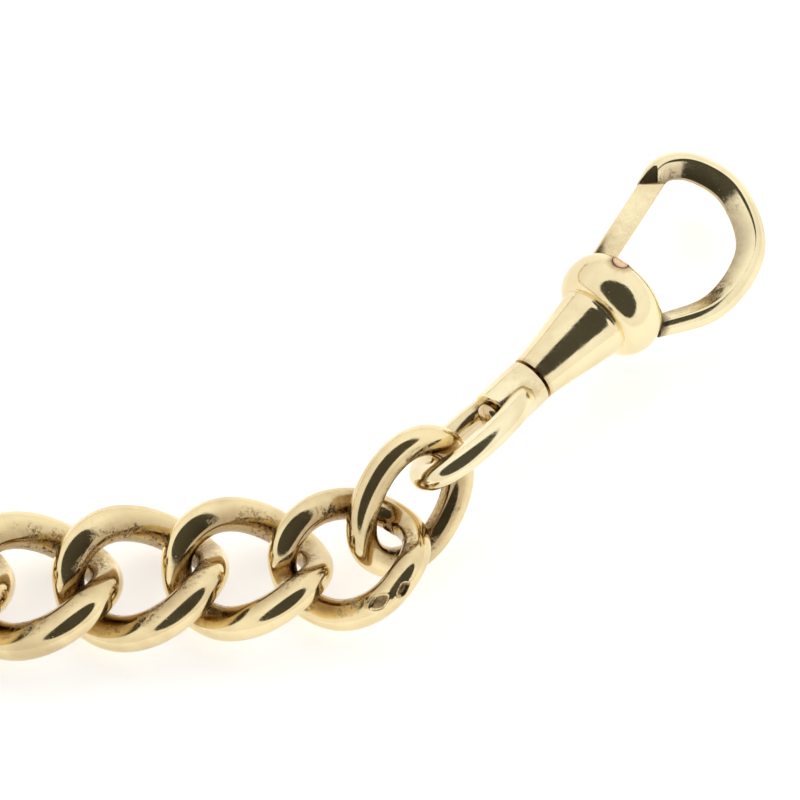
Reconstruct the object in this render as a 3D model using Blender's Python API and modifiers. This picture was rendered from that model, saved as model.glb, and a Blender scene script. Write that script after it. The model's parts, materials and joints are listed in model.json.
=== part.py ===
"""A gentleman's pocket watch chain: a swivelling dog clip, a graduated curb chain and a T-bar.

Every length below is in millimetres and every angle in degrees, unless a name says otherwise.
The model stands on z = 0 with its origin under the middle of its bounding box. Each moving
piece hangs from an empty that lies on its joint, with the empty's own Z axis along the hinge.
"""

import math

import bmesh
import bpy
from mathutils import Matrix, Vector

MM = 0.001

# Clearances
LINK_PLAY = 0.20            # slack between the wires of two linked rings
SEAT_GAP = 0.10             # between pieces that are soldered together
RIVET_GAP = 0.05            # round a rivet in the hole that holds it
RUNNING_GAP = 0.08          # radial, between a pin and the bore that turns on it
FACE_GAP = 0.25             # between the swivel barrel and the faces it turns against
SWING_GAP = 0.20            # each side of the gate in its slot

# Rings are wound on a mandrel, so each is told by its inside length and width and its wire

# Curb links: twisted oval rings of round wire that grow from the clip end
CURB_COUNT = 24
CURB_LENGTH_END = 8.0       # inside length of the smallest link
CURB_LENGTH_FULL = 8.5      # inside length of a full-size link
CURB_WIDTH_END = 5.9
CURB_WIDTH_FULL = 5.7
CURB_NOSE_WIRE_END = 2.25   # wire where two links bear on each other
CURB_NOSE_WIRE_FULL = 2.75
CURB_RAIL_WIRE_END = 2.55   # wire along the sides
CURB_RAIL_WIRE_FULL = 3.10
CURB_GROWTH_LINKS = 1.8     # links over which the size closes in on full
CURB_TWIST = 45.0           # each nose is turned this far out of the middle plane
CURB_SQUARENESS = 2.3       # exponent of the oval, 2 is an ellipse
CURB_POINTS = 22

# Oval jump link between the swivel and the first curb link
JUMP_LENGTH = 7.65
JUMP_WIDTH = 5.15
JUMP_WIRE = 2.45
JUMP_SQUARENESS = 2.15
JUMP_POINTS = 22

# Clip body: a cone with a domed collar, hollow at the front for the gate's heel
CONE_LENGTH = 7.2
CONE_TAIL_RADIUS = 1.90
CONE_NECK_RADIUS = 3.05
CONE_SWELL = 1.15           # 1 is a straight cone
COLLAR_RADIUS = 4.35
COLLAR_HALF_LENGTH = 2.0
COLLAR_FRONT_LENGTH = 0.35
COLLAR_FRONT_RADIUS = 2.6
COLLAR_ARC_POINTS = 11
CONE_RINGS = 4
BODY_STEPS = 28
PIN_STEPS = 12
CUTTER_OVERRUN = 0.5

# Hook and gate, measured in the clip's own frame: X forward along the axis, Y towards the gate
HOOK_ROUTE = (
    (1.1, -3.45), (6.2, -5.5), (11.6, -4.3), (14.0, -0.3), (13.4, 3.2), (11.5, 4.9), (9.0, 4.55),
)
HOOK_ROOT_RADIUS = 0.95
HOOK_BOW_RADIUS = 1.35
HOOK_POINTS = 26
GATE_PIN_X = 1.4
GATE_PIN_Y = 1.5
GATE_PIN_RADIUS = 0.45
GATE_PIN_DOME = 0.12
GATE_THICKNESS = 1.6
GATE_WIDTH = 1.8
GATE_FOOT = (2.5, 3.1)      # middle of the bar where it leaves the collar
GATE_FOOT_OVERLAP = 0.65    # how far the bar's outer edge runs back into the collar
GATE_MEETING = (9.7, 4.70)  # middle of the bevelled face where gate and hook meet
GATE_BEVEL = 50.0           # slope of that face's normal, so that the gate opens inward
GATE_TIP_GAP = 0.20
POCKET_ROOF_Y = 3.2         # the gate's pocket under the collar's shell ends here
GATE_HEEL_RADIUS = 1.15
GATE_TAIL_LENGTH = 1.5
GATE_TAIL_WIDTH = 0.9
SPRING_THICKNESS = 0.25
SPRING_WIDTH = 1.3
SPRING_LENGTH = 0.9
SPRING_BOW = 0.15
SPRING_POINTS = 7

# Swivel: a barrel that turns on a headed pin, and the loop soldered astride it
BARREL_LENGTH = 4.0
BARREL_RADIUS = 1.95
BARREL_EDGE = 0.12
SWIVEL_PIN_RADIUS = 0.75
SWIVEL_PIN_SEAT_LENGTH = 2.6
SWIVEL_HEAD_RADIUS = 1.20
SWIVEL_HEAD_RIM = 0.15
SWIVEL_HEAD_HEIGHT = 0.70
LOOP_LENGTH = 7.8
LOOP_WIDTH = 4.0
LOOP_WIRE = 2.2
LOOP_SQUARENESS = 2.15
LOOP_POINTS = 24
LOOP_CROWN_SETBACK = 0.45   # from the barrel's front face to the loop's crown

# Far end: a jump link, and a T-bar with an eye on its collar and a ball at each end
TAIL_LINK_LENGTH = 7.0
TAIL_LINK_WIDTH = 4.6
TAIL_LINK_WIRE = 2.2
TBAR_LENGTH = 30.0
TBAR_RADIUS = 1.35
TBAR_WAIST_RADIUS = 1.75
TBAR_BALL_RADIUS = 2.1
TBAR_COLLAR_RADIUS = 2.3
TBAR_COLLAR_LENGTH = 5.6
TBAR_COLLAR_CROWN = 0.25
TBAR_STEPS = 16
BALL_POINTS = 8
TBAR_EYE_LENGTH = 4.7
TBAR_EYE_WIDTH = 3.7
TBAR_EYE_WIRE = 1.7
TBAR_EYE_RISE = 2.0         # from the collar's surface to the middle of the eye

# How the chain lies at rest: heading about +Z, then pitch (nose up), then roll
CLIP_AT = (16.35, 7.4, 4.5)
CLIP_POSE = (47.0, -5.0, 10.0)
SWIVEL_TURN = 116.0         # of the loop's plane about the clip's axis
JUMP_POSE = (60.3, 27.6, 48.7)
FIRST_LINK_POSE = (11.5, 8.2, 10.9)
NEAR_HEADINGS = (-1.7, 9.0, 2.0, -3.0, -8.0)    # the second link and those after it
TURN_PER_LINK = 9.0         # the bend of the rest of the chain
LINKS_PER_SENSE = 4
TAIL_LINK_POSE = (0.0, 0.4, 113.8)              # from the last curb link's heading
TBAR_TURN = 0.1

# Where wires cross in two linked rings: heading and rise of the line from the middle of the first
# ring's wire to the middle of the second's, and its length as a share of half the two wires
JUMP_HANG = (70.3, 19.3, 1.224)
TAIL_LINK_HANG = (10.6, 16.9, 1.396)
TBAR_HANG = (3.2, 5.4, 1.22)

# The first curb link lies loosely in the jump link, so the distance between their wires is its own
FIRST_LINK_LINE = (15.1, 37.2)
FIRST_LINK_DISTANCE = 3.46

WIRE_BEVEL_RESOLUTION = 2   # eight sides
GOLD = (0.83, 0.63, 0.33)
PALE_GOLD = (0.86, 0.70, 0.42)
ROSE_GOLD = (0.80, 0.45, 0.28)
STEEL = (0.55, 0.55, 0.56)


# ---------------------------------------------------------------- scene helpers

def clear_scene():
    for obj in list(bpy.data.objects):
        bpy.data.objects.remove(obj, do_unlink=True)


def new_collection(name):
    collection = bpy.data.collections.new(name)
    bpy.context.scene.collection.children.link(collection)
    return collection


def new_material(name, colour, roughness):
    material = bpy.data.materials.new(name)
    material.use_nodes = True
    shader = material.node_tree.nodes["Principled BSDF"]
    shader.inputs["Base Color"].default_value = (*colour, 1.0)
    shader.inputs["Roughness"].default_value = roughness
    shader.inputs["Metallic"].default_value = 1.0
    material.diffuse_color = (*colour, 1.0)
    return material


def pose_matrix(place, pose):
    """World matrix in metres of a piece at a place, turned by heading, pitch (nose up) and roll."""
    heading, pitch, roll = (math.radians(angle) for angle in pose)
    turn = Matrix.Rotation(heading, 4, "Z")
    turn = turn @ Matrix.Rotation(-pitch, 4, "Y")
    turn = turn @ Matrix.Rotation(roll, 4, "X")
    return Matrix.Translation(Vector(place) * MM) @ turn


def hung_matrix(from_place, line, distance, turn_matrix, nose_x):
    """Matrix of a piece whose wire at nose_x lies at a distance along a line from a place."""
    heading, rise = (math.radians(angle) for angle in line)
    toward = Vector((math.cos(heading), math.sin(heading), 0.0)) * math.cos(rise)
    toward.z = math.sin(rise)
    nose = from_place + toward * distance * MM
    return Matrix.Translation(nose - turn_matrix @ Vector((nose_x * MM, 0.0, 0.0))) @ turn_matrix


def wire_distance(hang, first_wire, second_wire):
    """Between the middles of two crossing wires, as a hang tuple says."""
    return 0.5 * (first_wire + second_wire) * hang[2]


def joint_empty(name, parent, place, axis, collection):
    """An empty at a joint, with its own Z along the axis; place and axis are in the world."""
    empty = bpy.data.objects.new(name, None)
    empty.empty_display_size = 2.0 * MM
    collection.objects.link(empty)
    turn = Vector(axis).to_track_quat("Z", "Y").to_matrix().to_4x4()
    attach(empty, parent, Matrix.Translation(place) @ turn)
    return empty


def attach(obj, parent, world):
    """Parent an object so that it stands at the given world matrix."""
    obj.parent = parent
    obj.matrix_parent_inverse = parent.matrix_basis.inverted()
    obj.matrix_basis = world


def add_object(name, data, material, parent, world, collection):
    obj = bpy.data.objects.new(name, data)
    collection.objects.link(obj)
    if material is not None:
        data.materials.append(material)
    attach(obj, parent, world)
    return obj


# ---------------------------------------------------------------- ways of making a shape

def oval_points(half_length, half_width, squareness, count):
    """A closed oval in the XY plane, as a list of points that starts at its +X nose."""
    points = []
    for index in range(count):
        angle = 2.0 * math.pi * index / count
        x = half_length * signed_power(math.cos(angle), 2.0 / squareness)
        y = half_width * signed_power(math.sin(angle), 2.0 / squareness)
        points.append(Vector((x, y, 0.0)))
    return points


def signed_power(value, exponent):
    return math.copysign(abs(value) ** exponent, value)


def wire_curve(name, points, radii, closed):
    """A round wire through points, thicker and thinner as the radii say."""
    curve = bpy.data.curves.new(name, "CURVE")
    curve.dimensions = "3D"
    curve.bevel_depth = MM
    curve.bevel_resolution = WIRE_BEVEL_RESOLUTION
    curve.use_fill_caps = not closed
    spline = curve.splines.new("POLY")
    spline.points.add(len(points) - 1)
    for point, place, radius in zip(spline.points, points, radii):
        point.co = (*(Vector(place) * MM), 1.0)
        point.radius = radius
    spline.use_cyclic_u = closed
    return curve


def flat_curve(name, outlines, thickness):
    """A flat plate in the XY plane: the first outline is its edge, any others are holes."""
    curve = bpy.data.curves.new(name, "CURVE")
    curve.dimensions = "2D"
    curve.fill_mode = "BOTH"
    curve.extrude = 0.5 * thickness * MM
    for outline in outlines:
        spline = curve.splines.new("POLY")
        spline.points.add(len(outline) - 1)
        for point, (x, y) in zip(spline.points, outline):
            point.co = (x * MM, y * MM, 0.0, 1.0)
        spline.use_cyclic_u = True
    return curve


def meshed(obj):
    """Turn a curve object into a welded mesh object of the same name and place."""
    name = obj.name
    bpy.context.view_layer.update()
    depsgraph = bpy.context.evaluated_depsgraph_get()
    mesh = bpy.data.meshes.new_from_object(obj.evaluated_get(depsgraph))
    work = bmesh.new()
    work.from_mesh(mesh)
    bmesh.ops.remove_doubles(work, verts=work.verts, dist=0.001 * MM)
    work.to_mesh(mesh)
    work.free()
    parent = obj.parent
    world = obj.matrix_basis.copy()
    collection = obj.users_collection[0]
    bpy.data.objects.remove(obj, do_unlink=True)
    mesh.name = name
    return add_object(name, mesh, None, parent, world, collection)


def turned_mesh(name, profile, closed):
    """A profile of (radius, height) points, running down its outer side, to be turned about Z."""
    mesh = bpy.data.meshes.new(name)
    vertices = [(radius * MM, 0.0, height * MM) for radius, height in profile]
    edges = [(index, index + 1) for index in range(len(profile) - 1)]
    if closed:
        edges.append((len(profile) - 1, 0))
    mesh.from_pydata(vertices, edges, [])
    return mesh


def turn(obj, steps):
    screw = obj.modifiers.new("turned", "SCREW")
    screw.axis = "Z"
    screw.steps = steps
    screw.render_steps = steps
    screw.use_merge_vertices = True
    screw.merge_threshold = 0.001 * MM
    screw.use_smooth_shade = True


def cut(obj, cutter):
    """Take a cutter away from a mesh object, and keep the cutter out of the model."""
    boolean = obj.modifiers.new("cut_" + cutter.name, "BOOLEAN")
    boolean.operation = "DIFFERENCE"
    boolean.solver = "EXACT"
    boolean.object = cutter
    cutter.hide_render = True
    cutter.display_type = "WIRE"


def box_mesh(name, low, high):
    mesh = bpy.data.meshes.new(name)
    work = bmesh.new()
    bmesh.ops.create_cube(work, size=1.0)
    size = [(b - a) * MM for a, b in zip(low, high)]
    middle = [0.5 * (a + b) * MM for a, b in zip(low, high)]
    bmesh.ops.scale(work, vec=size, verts=work.verts)
    bmesh.ops.translate(work, vec=middle, verts=work.verts)
    work.to_mesh(mesh)
    work.free()
    return mesh


def smooth_route(route, count):
    """Points spread evenly by parameter along a smooth curve through the route's points."""
    first = 2.0 * Vector(route[0]) - Vector(route[1])
    last = 2.0 * Vector(route[-1]) - Vector(route[-2])
    knots = [first, *(Vector(point) for point in route), last]
    spans = len(route) - 1
    points = []
    for index in range(count):
        place = index / (count - 1) * spans
        span = min(int(place), spans - 1)
        t = place - span
        a, b, c, d = knots[span:span + 4]
        points.append(0.5 * (2.0 * b + (c - a) * t
                             + (2.0 * a - 5.0 * b + 4.0 * c - d) * t ** 2
                             + (3.0 * b - a - 3.0 * c + d) * t ** 3))
    return points


def arc(centre, radius, start, stop, count):
    """Points on an arc from start to stop degrees, counter-clockwise if stop is the larger."""
    points = []
    for index in range(count):
        angle = math.radians(start + (stop - start) * index / (count - 1))
        points.append((centre[0] + radius * math.cos(angle), centre[1] + radius * math.sin(angle)))
    return points


# ---------------------------------------------------------------- clip

def forward(clip_world, x):
    """The clip's frame moved to x on its axis and turned so that local Z runs forward."""
    return clip_world @ Matrix.Translation((x * MM, 0.0, 0.0)) @ Matrix.Rotation(math.pi / 2, 4, "Y")


def collar_profile(offset):
    """The domed collar from its front rim back to the neck, as (radius, x), grown by offset."""
    bulge = COLLAR_RADIUS - CONE_NECK_RADIUS
    points = []
    for x, height in arc((0.0, 0.0), 1.0, 0.0, 180.0, COLLAR_ARC_POINTS):
        points.append((CONE_NECK_RADIUS + bulge * height + offset, x * (COLLAR_HALF_LENGTH + offset)))
    return points


def body_profile():
    """The clip body's outer profile from its front face back to the cone's tail."""
    front = COLLAR_HALF_LENGTH + COLLAR_FRONT_LENGTH
    profile = [(0.0, front), (COLLAR_FRONT_RADIUS, front)]
    profile += collar_profile(0.0)
    for step in range(1, CONE_RINGS + 1):
        share = 1.0 - step / CONE_RINGS
        radius = CONE_TAIL_RADIUS + (CONE_NECK_RADIUS - CONE_TAIL_RADIUS) * share ** CONE_SWELL
        profile.append((radius, -COLLAR_HALF_LENGTH - CONE_LENGTH * (1.0 - share)))
    tail = cone_tail()
    bore = SWIVEL_PIN_RADIUS + RIVET_GAP
    depth = SWIVEL_PIN_SEAT_LENGTH + RIVET_GAP
    profile += [(bore, tail), (bore, tail + depth), (0.0, tail + depth)]
    return profile


def cone_tail():
    return -(COLLAR_HALF_LENGTH + CONE_LENGTH)


def barrel_front():
    return cone_tail() - FACE_GAP


def barrel_back():
    return barrel_front() - BARREL_LENGTH


def add_clip_body(gold, parent, clip_world, parts, cutters):
    mesh = turned_mesh("clip_body", body_profile(), closed=False)
    body = add_object("clip_body", mesh, gold, parent, forward(clip_world, 0.0), parts)
    turn(body, BODY_STEPS)

    front = COLLAR_HALF_LENGTH + COLLAR_FRONT_LENGTH + CUTTER_OVERRUN
    side = 0.5 * GATE_THICKNESS + SWING_GAP
    floor_y = GATE_PIN_Y - GATE_HEEL_RADIUS - SWING_GAP
    back_x = GATE_PIN_X - GATE_TAIL_LENGTH - 2.0 * SWING_GAP
    pocket = box_mesh("gate_pocket", (back_x, floor_y, -side), (front, POCKET_ROOF_Y, side))
    cut(body, add_object("gate_pocket", pocket, None, parent, clip_world, cutters))
    mouth_y = COLLAR_RADIUS + CUTTER_OVERRUN
    mouth_back = gate_edges()[1][0] - SWING_GAP
    mouth_low = (mouth_back, POCKET_ROOF_Y - CUTTER_OVERRUN, -side)
    mouth = box_mesh("gate_mouth", mouth_low, (front, mouth_y, side))
    cut(body, add_object("gate_mouth", mouth, None, parent, clip_world, cutters))

    profile = rod_profile(GATE_PIN_RADIUS + RIVET_GAP, 2.0 * (COLLAR_RADIUS + CUTTER_OVERRUN), 0.0)
    hole = turned_mesh("gate_pin_hole", profile, closed=False)
    hole_world = clip_world @ Matrix.Translation((GATE_PIN_X * MM, GATE_PIN_Y * MM, 0.0))
    hole = add_object("gate_pin_hole", hole, None, parent, hole_world, cutters)
    turn(hole, PIN_STEPS)
    cut(body, hole)


def rod_profile(radius, length, dome):
    """A rod about Z, centred on the origin, with domed ends that rise by dome."""
    half = 0.5 * length
    profile = [(0.0, half + dome)]
    if dome > 0.0:
        profile.append((0.6 * radius, half + 0.7 * dome))
    profile += [(radius, half), (radius, -half)]
    if dome > 0.0:
        profile.append((0.6 * radius, -half - 0.7 * dome))
    profile.append((0.0, -half - dome))
    return profile


def add_hook(gold, parent, clip_world, parts, cutters):
    points = [point.to_3d() for point in smooth_route(HOOK_ROUTE, HOOK_POINTS)]
    radii = []
    for index in range(HOOK_POINTS):
        share = math.sin(math.pi * index / (HOOK_POINTS - 1)) ** 0.8
        radii.append(HOOK_ROOT_RADIUS + (HOOK_BOW_RADIUS - HOOK_ROOT_RADIUS) * share)
    curve = wire_curve("hook", points, radii, closed=False)
    hook = meshed(add_object("hook", curve, gold, parent, clip_world, parts))
    front = COLLAR_HALF_LENGTH + COLLAR_FRONT_LENGTH + SEAT_GAP
    profile = [(0.0, front), (COLLAR_FRONT_RADIUS + SEAT_GAP, front)]
    profile += collar_profile(SEAT_GAP)
    profile.append((0.0, profile[-1][1]))
    seat = turned_mesh("hook_seat", profile, closed=False)
    seat = add_object("hook_seat", seat, None, parent, forward(clip_world, 0.0), cutters)
    turn(seat, BODY_STEPS)
    cut(hook, seat)

    reach = 2.0 * GATE_WIDTH
    bevel = box_mesh("hook_bevel", (-reach, -reach, -reach), (0.5 * GATE_TIP_GAP, reach, reach))
    bevel_world = clip_world @ Matrix.Translation(Vector((*GATE_MEETING, 0.0)) * MM)
    bevel_world = bevel_world @ Matrix.Rotation(math.radians(GATE_BEVEL), 4, "Z")
    cut(hook, add_object("hook_bevel", bevel, None, parent, bevel_world, cutters))


def gate_edges():
    """The gate bar's corners: tip and foot of its outer edge, then foot and tip of its inner one."""
    foot = Vector(GATE_FOOT)
    meeting = Vector(GATE_MEETING)
    along = (meeting - foot).normalized()
    across = Vector((-along.y, along.x)) * 0.5 * GATE_WIDTH
    bevel = Vector((math.cos(math.radians(GATE_BEVEL)), math.sin(math.radians(GATE_BEVEL))))
    face = meeting - bevel * 0.5 * GATE_TIP_GAP
    tips = []
    for edge in (foot + across, foot - across):
        tips.append(edge + along * (face - edge).dot(bevel) / along.dot(bevel))
    outer_foot = foot + across - along * GATE_FOOT_OVERLAP
    return [tips[0], outer_foot, foot - across, tips[1]]


def add_gate(gold, pivot, clip_world, parts):
    """The gate's outline is drawn about its pin, where its object has its origin."""
    pin = Vector((GATE_PIN_X, GATE_PIN_Y))
    tip_outer, foot_outer, foot_inner, tip_inner = (corner - pin for corner in gate_edges())
    shoulder_y = POCKET_ROOF_Y - GATE_PIN_Y - SWING_GAP
    outline = [tuple(tip_outer), tuple(foot_outer), (foot_outer.x, shoulder_y)]
    outline += arc((0.0, 0.0), GATE_HEEL_RADIUS, 125.0, 157.0, 3)
    half_tail = 0.5 * GATE_TAIL_WIDTH
    outline += [(-GATE_TAIL_LENGTH, half_tail), (-GATE_TAIL_LENGTH, -half_tail)]
    outline += arc((0.0, 0.0), GATE_HEEL_RADIUS, 203.0, 350.0, 7)
    outline += [tuple(foot_inner), tuple(tip_inner)]
    hole = arc((0.0, 0.0), GATE_PIN_RADIUS + RUNNING_GAP, 360.0, 360.0 / PIN_STEPS, PIN_STEPS)
    curve = flat_curve("gate", [outline, hole], GATE_THICKNESS)
    world = clip_world @ Matrix.Translation((GATE_PIN_X * MM, GATE_PIN_Y * MM, 0.0))
    meshed(add_object("gate", curve, gold, pivot, world, parts))


def gate_pin_length():
    """The pin's ends lie flush with the domed collar."""
    rise = math.sqrt(1.0 - (GATE_PIN_X / COLLAR_HALF_LENGTH) ** 2)
    radius = CONE_NECK_RADIUS + (COLLAR_RADIUS - CONE_NECK_RADIUS) * rise
    return 2.0 * math.sqrt(radius ** 2 - GATE_PIN_Y ** 2)


def add_gate_pin(rose, parent, clip_world, parts):
    profile = rod_profile(GATE_PIN_RADIUS, gate_pin_length(), GATE_PIN_DOME)
    mesh = turned_mesh("gate_pin", profile, closed=False)
    world = clip_world @ Matrix.Translation((GATE_PIN_X * MM, GATE_PIN_Y * MM, 0.0))
    pin = add_object("gate_pin", mesh, rose, parent, world, parts)
    turn(pin, PIN_STEPS)


def add_gate_spring(steel, parent, clip_world, parts):
    """A bowed leaf under the pocket's roof, over the tail of the gate's heel."""
    top = POCKET_ROOF_Y - RIVET_GAP
    middle_x = GATE_PIN_X - GATE_TAIL_LENGTH + 0.5 * SPRING_LENGTH
    count = SPRING_POINTS
    upper = []
    lower = []
    for index in range(count):
        share = index / (count - 1)
        x = middle_x + (share - 0.5) * SPRING_LENGTH
        sag = SPRING_BOW * (2.0 * share - 1.0) ** 2
        upper.append((x, top - sag))
        lower.append((x, top - sag - SPRING_THICKNESS))
    curve = flat_curve("gate_spring", [upper + lower[::-1]], SPRING_WIDTH)
    meshed(add_object("gate_spring", curve, steel, parent, clip_world, parts))


# ---------------------------------------------------------------- swivel

def add_swivel_pin(gold, parent, clip_world, parts):
    """A shank from its seat in the cone through the barrel, with a domed head inside the loop."""
    seat = cone_tail() + SWIVEL_PIN_SEAT_LENGTH
    face = barrel_back() - FACE_GAP
    radius = SWIVEL_PIN_RADIUS
    profile = [(0.0, seat), (radius, seat), (radius, face), (SWIVEL_HEAD_RADIUS, face)]
    for x, y in arc((0.0, 0.0), 1.0, 0.0, 90.0, 5)[1:]:
        profile.append((SWIVEL_HEAD_RADIUS * x, face - SWIVEL_HEAD_RIM - SWIVEL_HEAD_HEIGHT * y))
    profile.insert(4, (SWIVEL_HEAD_RADIUS, face - SWIVEL_HEAD_RIM))
    profile[-1] = (0.0, profile[-1][1])
    mesh = turned_mesh("swivel_pin", profile, closed=False)
    pin = add_object("swivel_pin", mesh, gold, parent, forward(clip_world, 0.0), parts)
    turn(pin, PIN_STEPS)


def add_swivel_barrel(gold, pivot, clip_world, parts):
    """A bored barrel; the profile goes down its outside and back up its bore."""
    bore = SWIVEL_PIN_RADIUS + RUNNING_GAP
    front = barrel_front()
    back = barrel_back()
    edge = BARREL_EDGE
    radius = BARREL_RADIUS
    profile = [(radius - edge, front), (radius, front - edge), (radius, back + edge)]
    profile += [(radius - edge, back), (bore, back), (bore, front)]
    mesh = turned_mesh("swivel_barrel", profile, closed=True)
    barrel = add_object("swivel_barrel", mesh, gold, pivot, forward(clip_world, 0.0), parts)
    turn(barrel, BODY_STEPS)


def loop_middle():
    """Place on the clip's axis of the middle of the swivel loop."""
    return barrel_front() - LOOP_CROWN_SETBACK - LOOP_WIRE - 0.5 * LOOP_LENGTH


def loop_frame(clip_world):
    return clip_world @ Matrix.Rotation(math.radians(SWIVEL_TURN), 4, "X")


def add_swivel_loop(gold, pivot, clip_world, parts, cutters):
    half_length = 0.5 * (LOOP_LENGTH + LOOP_WIRE)
    half_width = 0.5 * (LOOP_WIDTH + LOOP_WIRE)
    points = oval_points(half_length, half_width, LOOP_SQUARENESS, LOOP_POINTS)
    curve = wire_curve("swivel_loop", points, [0.5 * LOOP_WIRE] * LOOP_POINTS, closed=True)
    world = loop_frame(clip_world) @ Matrix.Translation((loop_middle() * MM, 0.0, 0.0))
    loop = meshed(add_object("swivel_loop", curve, gold, pivot, world, parts))
    radius = BARREL_RADIUS + SEAT_GAP
    front = cone_tail() - 0.5 * FACE_GAP + CUTTER_OVERRUN
    back = barrel_back() - SEAT_GAP
    profile = [(0.0, front), (radius, front), (radius, back), (0.0, back)]
    seat = turned_mesh("barrel_seat", profile, closed=False)
    seat = add_object("barrel_seat", seat, None, pivot, forward(clip_world, 0.0), cutters)
    turn(seat, BODY_STEPS)
    cut(loop, seat)


# ---------------------------------------------------------------- links

def curb_sizes(index):
    """Inside length and width, nose wire and rail wire of the curb link at index."""
    share = math.exp(-index / CURB_GROWTH_LINKS)
    length = CURB_LENGTH_FULL - (CURB_LENGTH_FULL - CURB_LENGTH_END) * share
    width = CURB_WIDTH_FULL - (CURB_WIDTH_FULL - CURB_WIDTH_END) * share
    nose = CURB_NOSE_WIRE_FULL - (CURB_NOSE_WIRE_FULL - CURB_NOSE_WIRE_END) * share
    rail = CURB_RAIL_WIRE_FULL - (CURB_RAIL_WIRE_FULL - CURB_RAIL_WIRE_END) * share
    return length, width, nose, rail


def curb_wire(index):
    """Points and radii of a curb link's wire: an oval whose noses are twisted out of its plane."""
    length, width, nose, rail = curb_sizes(index)
    half_length = 0.5 * (length + nose)
    half_width = 0.5 * (width + rail)
    points = []
    radii = []
    for point in oval_points(half_length, half_width, CURB_SQUARENESS, CURB_POINTS):
        twist = -math.radians(CURB_TWIST) * point.x / half_length
        points.append(Vector((point.x, point.y * math.cos(twist), point.y * math.sin(twist))))
        side = abs(point.y) / half_width
        radii.append(0.5 * (nose + (rail - nose) * side ** 1.5))
    return points, radii


def curb_reach(index):
    """From the middle of a curb link to the point where it bears on its neighbour."""
    return 0.5 * curb_sizes(index)[0] - 0.5 * LINK_PLAY


def curb_rest_height(index):
    """Height of a curb link's middle when it lies flat on the ground."""
    points, radii = curb_wire(index)
    return max(radius - point.z for point, radius in zip(points, radii))


def curb_worlds(jump_tail):
    """Rest matrices of every curb link, each hung from the one before at their shared bearing."""
    length, _, nose, _ = curb_sizes(0)
    turn_matrix = pose_matrix((0.0, 0.0, 0.0), FIRST_LINK_POSE)
    nose_x = 0.5 * (length + nose)
    first = hung_matrix(jump_tail, FIRST_LINK_LINE, FIRST_LINK_DISTANCE, turn_matrix, nose_x)
    worlds = [first]
    for index in range(1, CURB_COUNT):
        bearing = worlds[-1] @ Vector((-curb_reach(index - 1) * MM, 0.0, 0.0))
        reach = curb_reach(index)
        drop = (bearing.z / MM - curb_rest_height(index)) / (2.0 * reach)
        pitch = math.degrees(math.asin(drop))
        turn_matrix = pose_matrix((0.0, 0.0, 0.0), (curb_heading(index), pitch, 0.0))
        middle = bearing - turn_matrix @ Vector((reach * MM, 0.0, 0.0))
        worlds.append(Matrix.Translation(middle) @ turn_matrix)
    return worlds


def curb_heading(index):
    if index - 1 < len(NEAR_HEADINGS):
        return NEAR_HEADINGS[index - 1]
    return NEAR_HEADINGS[-1] - TURN_PER_LINK * (index - len(NEAR_HEADINGS))


def add_curb_link(index, gold, pivot, world, parts):
    name = f"curb_link_{index + 1:02d}"
    points, radii = curb_wire(index)
    curve = wire_curve(name, points, radii, closed=True)
    add_object(name, curve, gold, pivot, world, parts)


def add_oval_link(name, sizes, squareness, gold, pivot, world, parts):
    length, width, wire = sizes
    points = oval_points(0.5 * (length + wire), 0.5 * (width + wire), squareness, JUMP_POINTS)
    curve = wire_curve(name, points, [0.5 * wire] * JUMP_POINTS, closed=True)
    add_object(name, curve, gold, pivot, world, parts)


# ---------------------------------------------------------------- T-bar

def add_tbar(gold, pivot, world, parts, cutters):
    """The bar lies along the T-bar's own Y, and its eye reaches forward along its own X."""
    along_bar = world @ Matrix.Rotation(-math.pi / 2, 4, "X")
    half = 0.5 * TBAR_LENGTH - TBAR_BALL_RADIUS
    profile = [(0.0, half), (TBAR_RADIUS, half), (TBAR_WAIST_RADIUS, 0.5 * TBAR_COLLAR_LENGTH)]
    profile += [(TBAR_WAIST_RADIUS, -0.5 * TBAR_COLLAR_LENGTH), (TBAR_RADIUS, -half), (0.0, -half)]
    mesh = turned_mesh("tbar_bar", profile, closed=False)
    bar = add_object("tbar_bar", mesh, gold, pivot, along_bar, parts)
    turn(bar, TBAR_STEPS)

    bore = TBAR_WAIST_RADIUS + SEAT_GAP
    rim = TBAR_COLLAR_RADIUS - TBAR_COLLAR_CROWN
    end = 0.5 * TBAR_COLLAR_LENGTH
    crown = TBAR_COLLAR_RADIUS
    profile = [(bore, end), (rim, end), (crown, 0.5 * end), (crown, -0.5 * end)]
    profile += [(rim, -end), (bore, -end)]
    mesh = turned_mesh("tbar_collar", profile, closed=True)
    collar = add_object("tbar_collar", mesh, gold, pivot, along_bar, parts)
    turn(collar, TBAR_STEPS)

    for name, side in (("tbar_ball_left", 1.0), ("tbar_ball_right", -1.0)):
        add_ball(name, side, half, gold, pivot, along_bar, parts)
    add_tbar_eye(gold, pivot, world, parts, cutters)


def add_ball(name, side, bar_half, gold, pivot, along_bar, parts):
    """A ball with a flat where it meets the end of the bar."""
    flat = math.degrees(math.acos(TBAR_RADIUS / TBAR_BALL_RADIUS))
    profile = []
    for x, y in arc((0.0, 0.0), TBAR_BALL_RADIUS, 90.0, -flat, BALL_POINTS):
        profile.append((x, y))
    profile[0] = (0.0, profile[0][1])
    profile.append((0.0, profile[-1][1]))
    centre = bar_half + SEAT_GAP - profile[-1][1]
    world = along_bar @ Matrix.Rotation(0.0 if side > 0 else math.pi, 4, "X")
    world = world @ Matrix.Translation((0.0, 0.0, centre * MM))
    ball = add_object(name, turned_mesh(name, profile, False), gold, pivot, world, parts)
    turn(ball, TBAR_STEPS)


def eye_middle():
    """From the bar's axis to the middle of the eye."""
    return TBAR_COLLAR_RADIUS + TBAR_EYE_RISE


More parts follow.
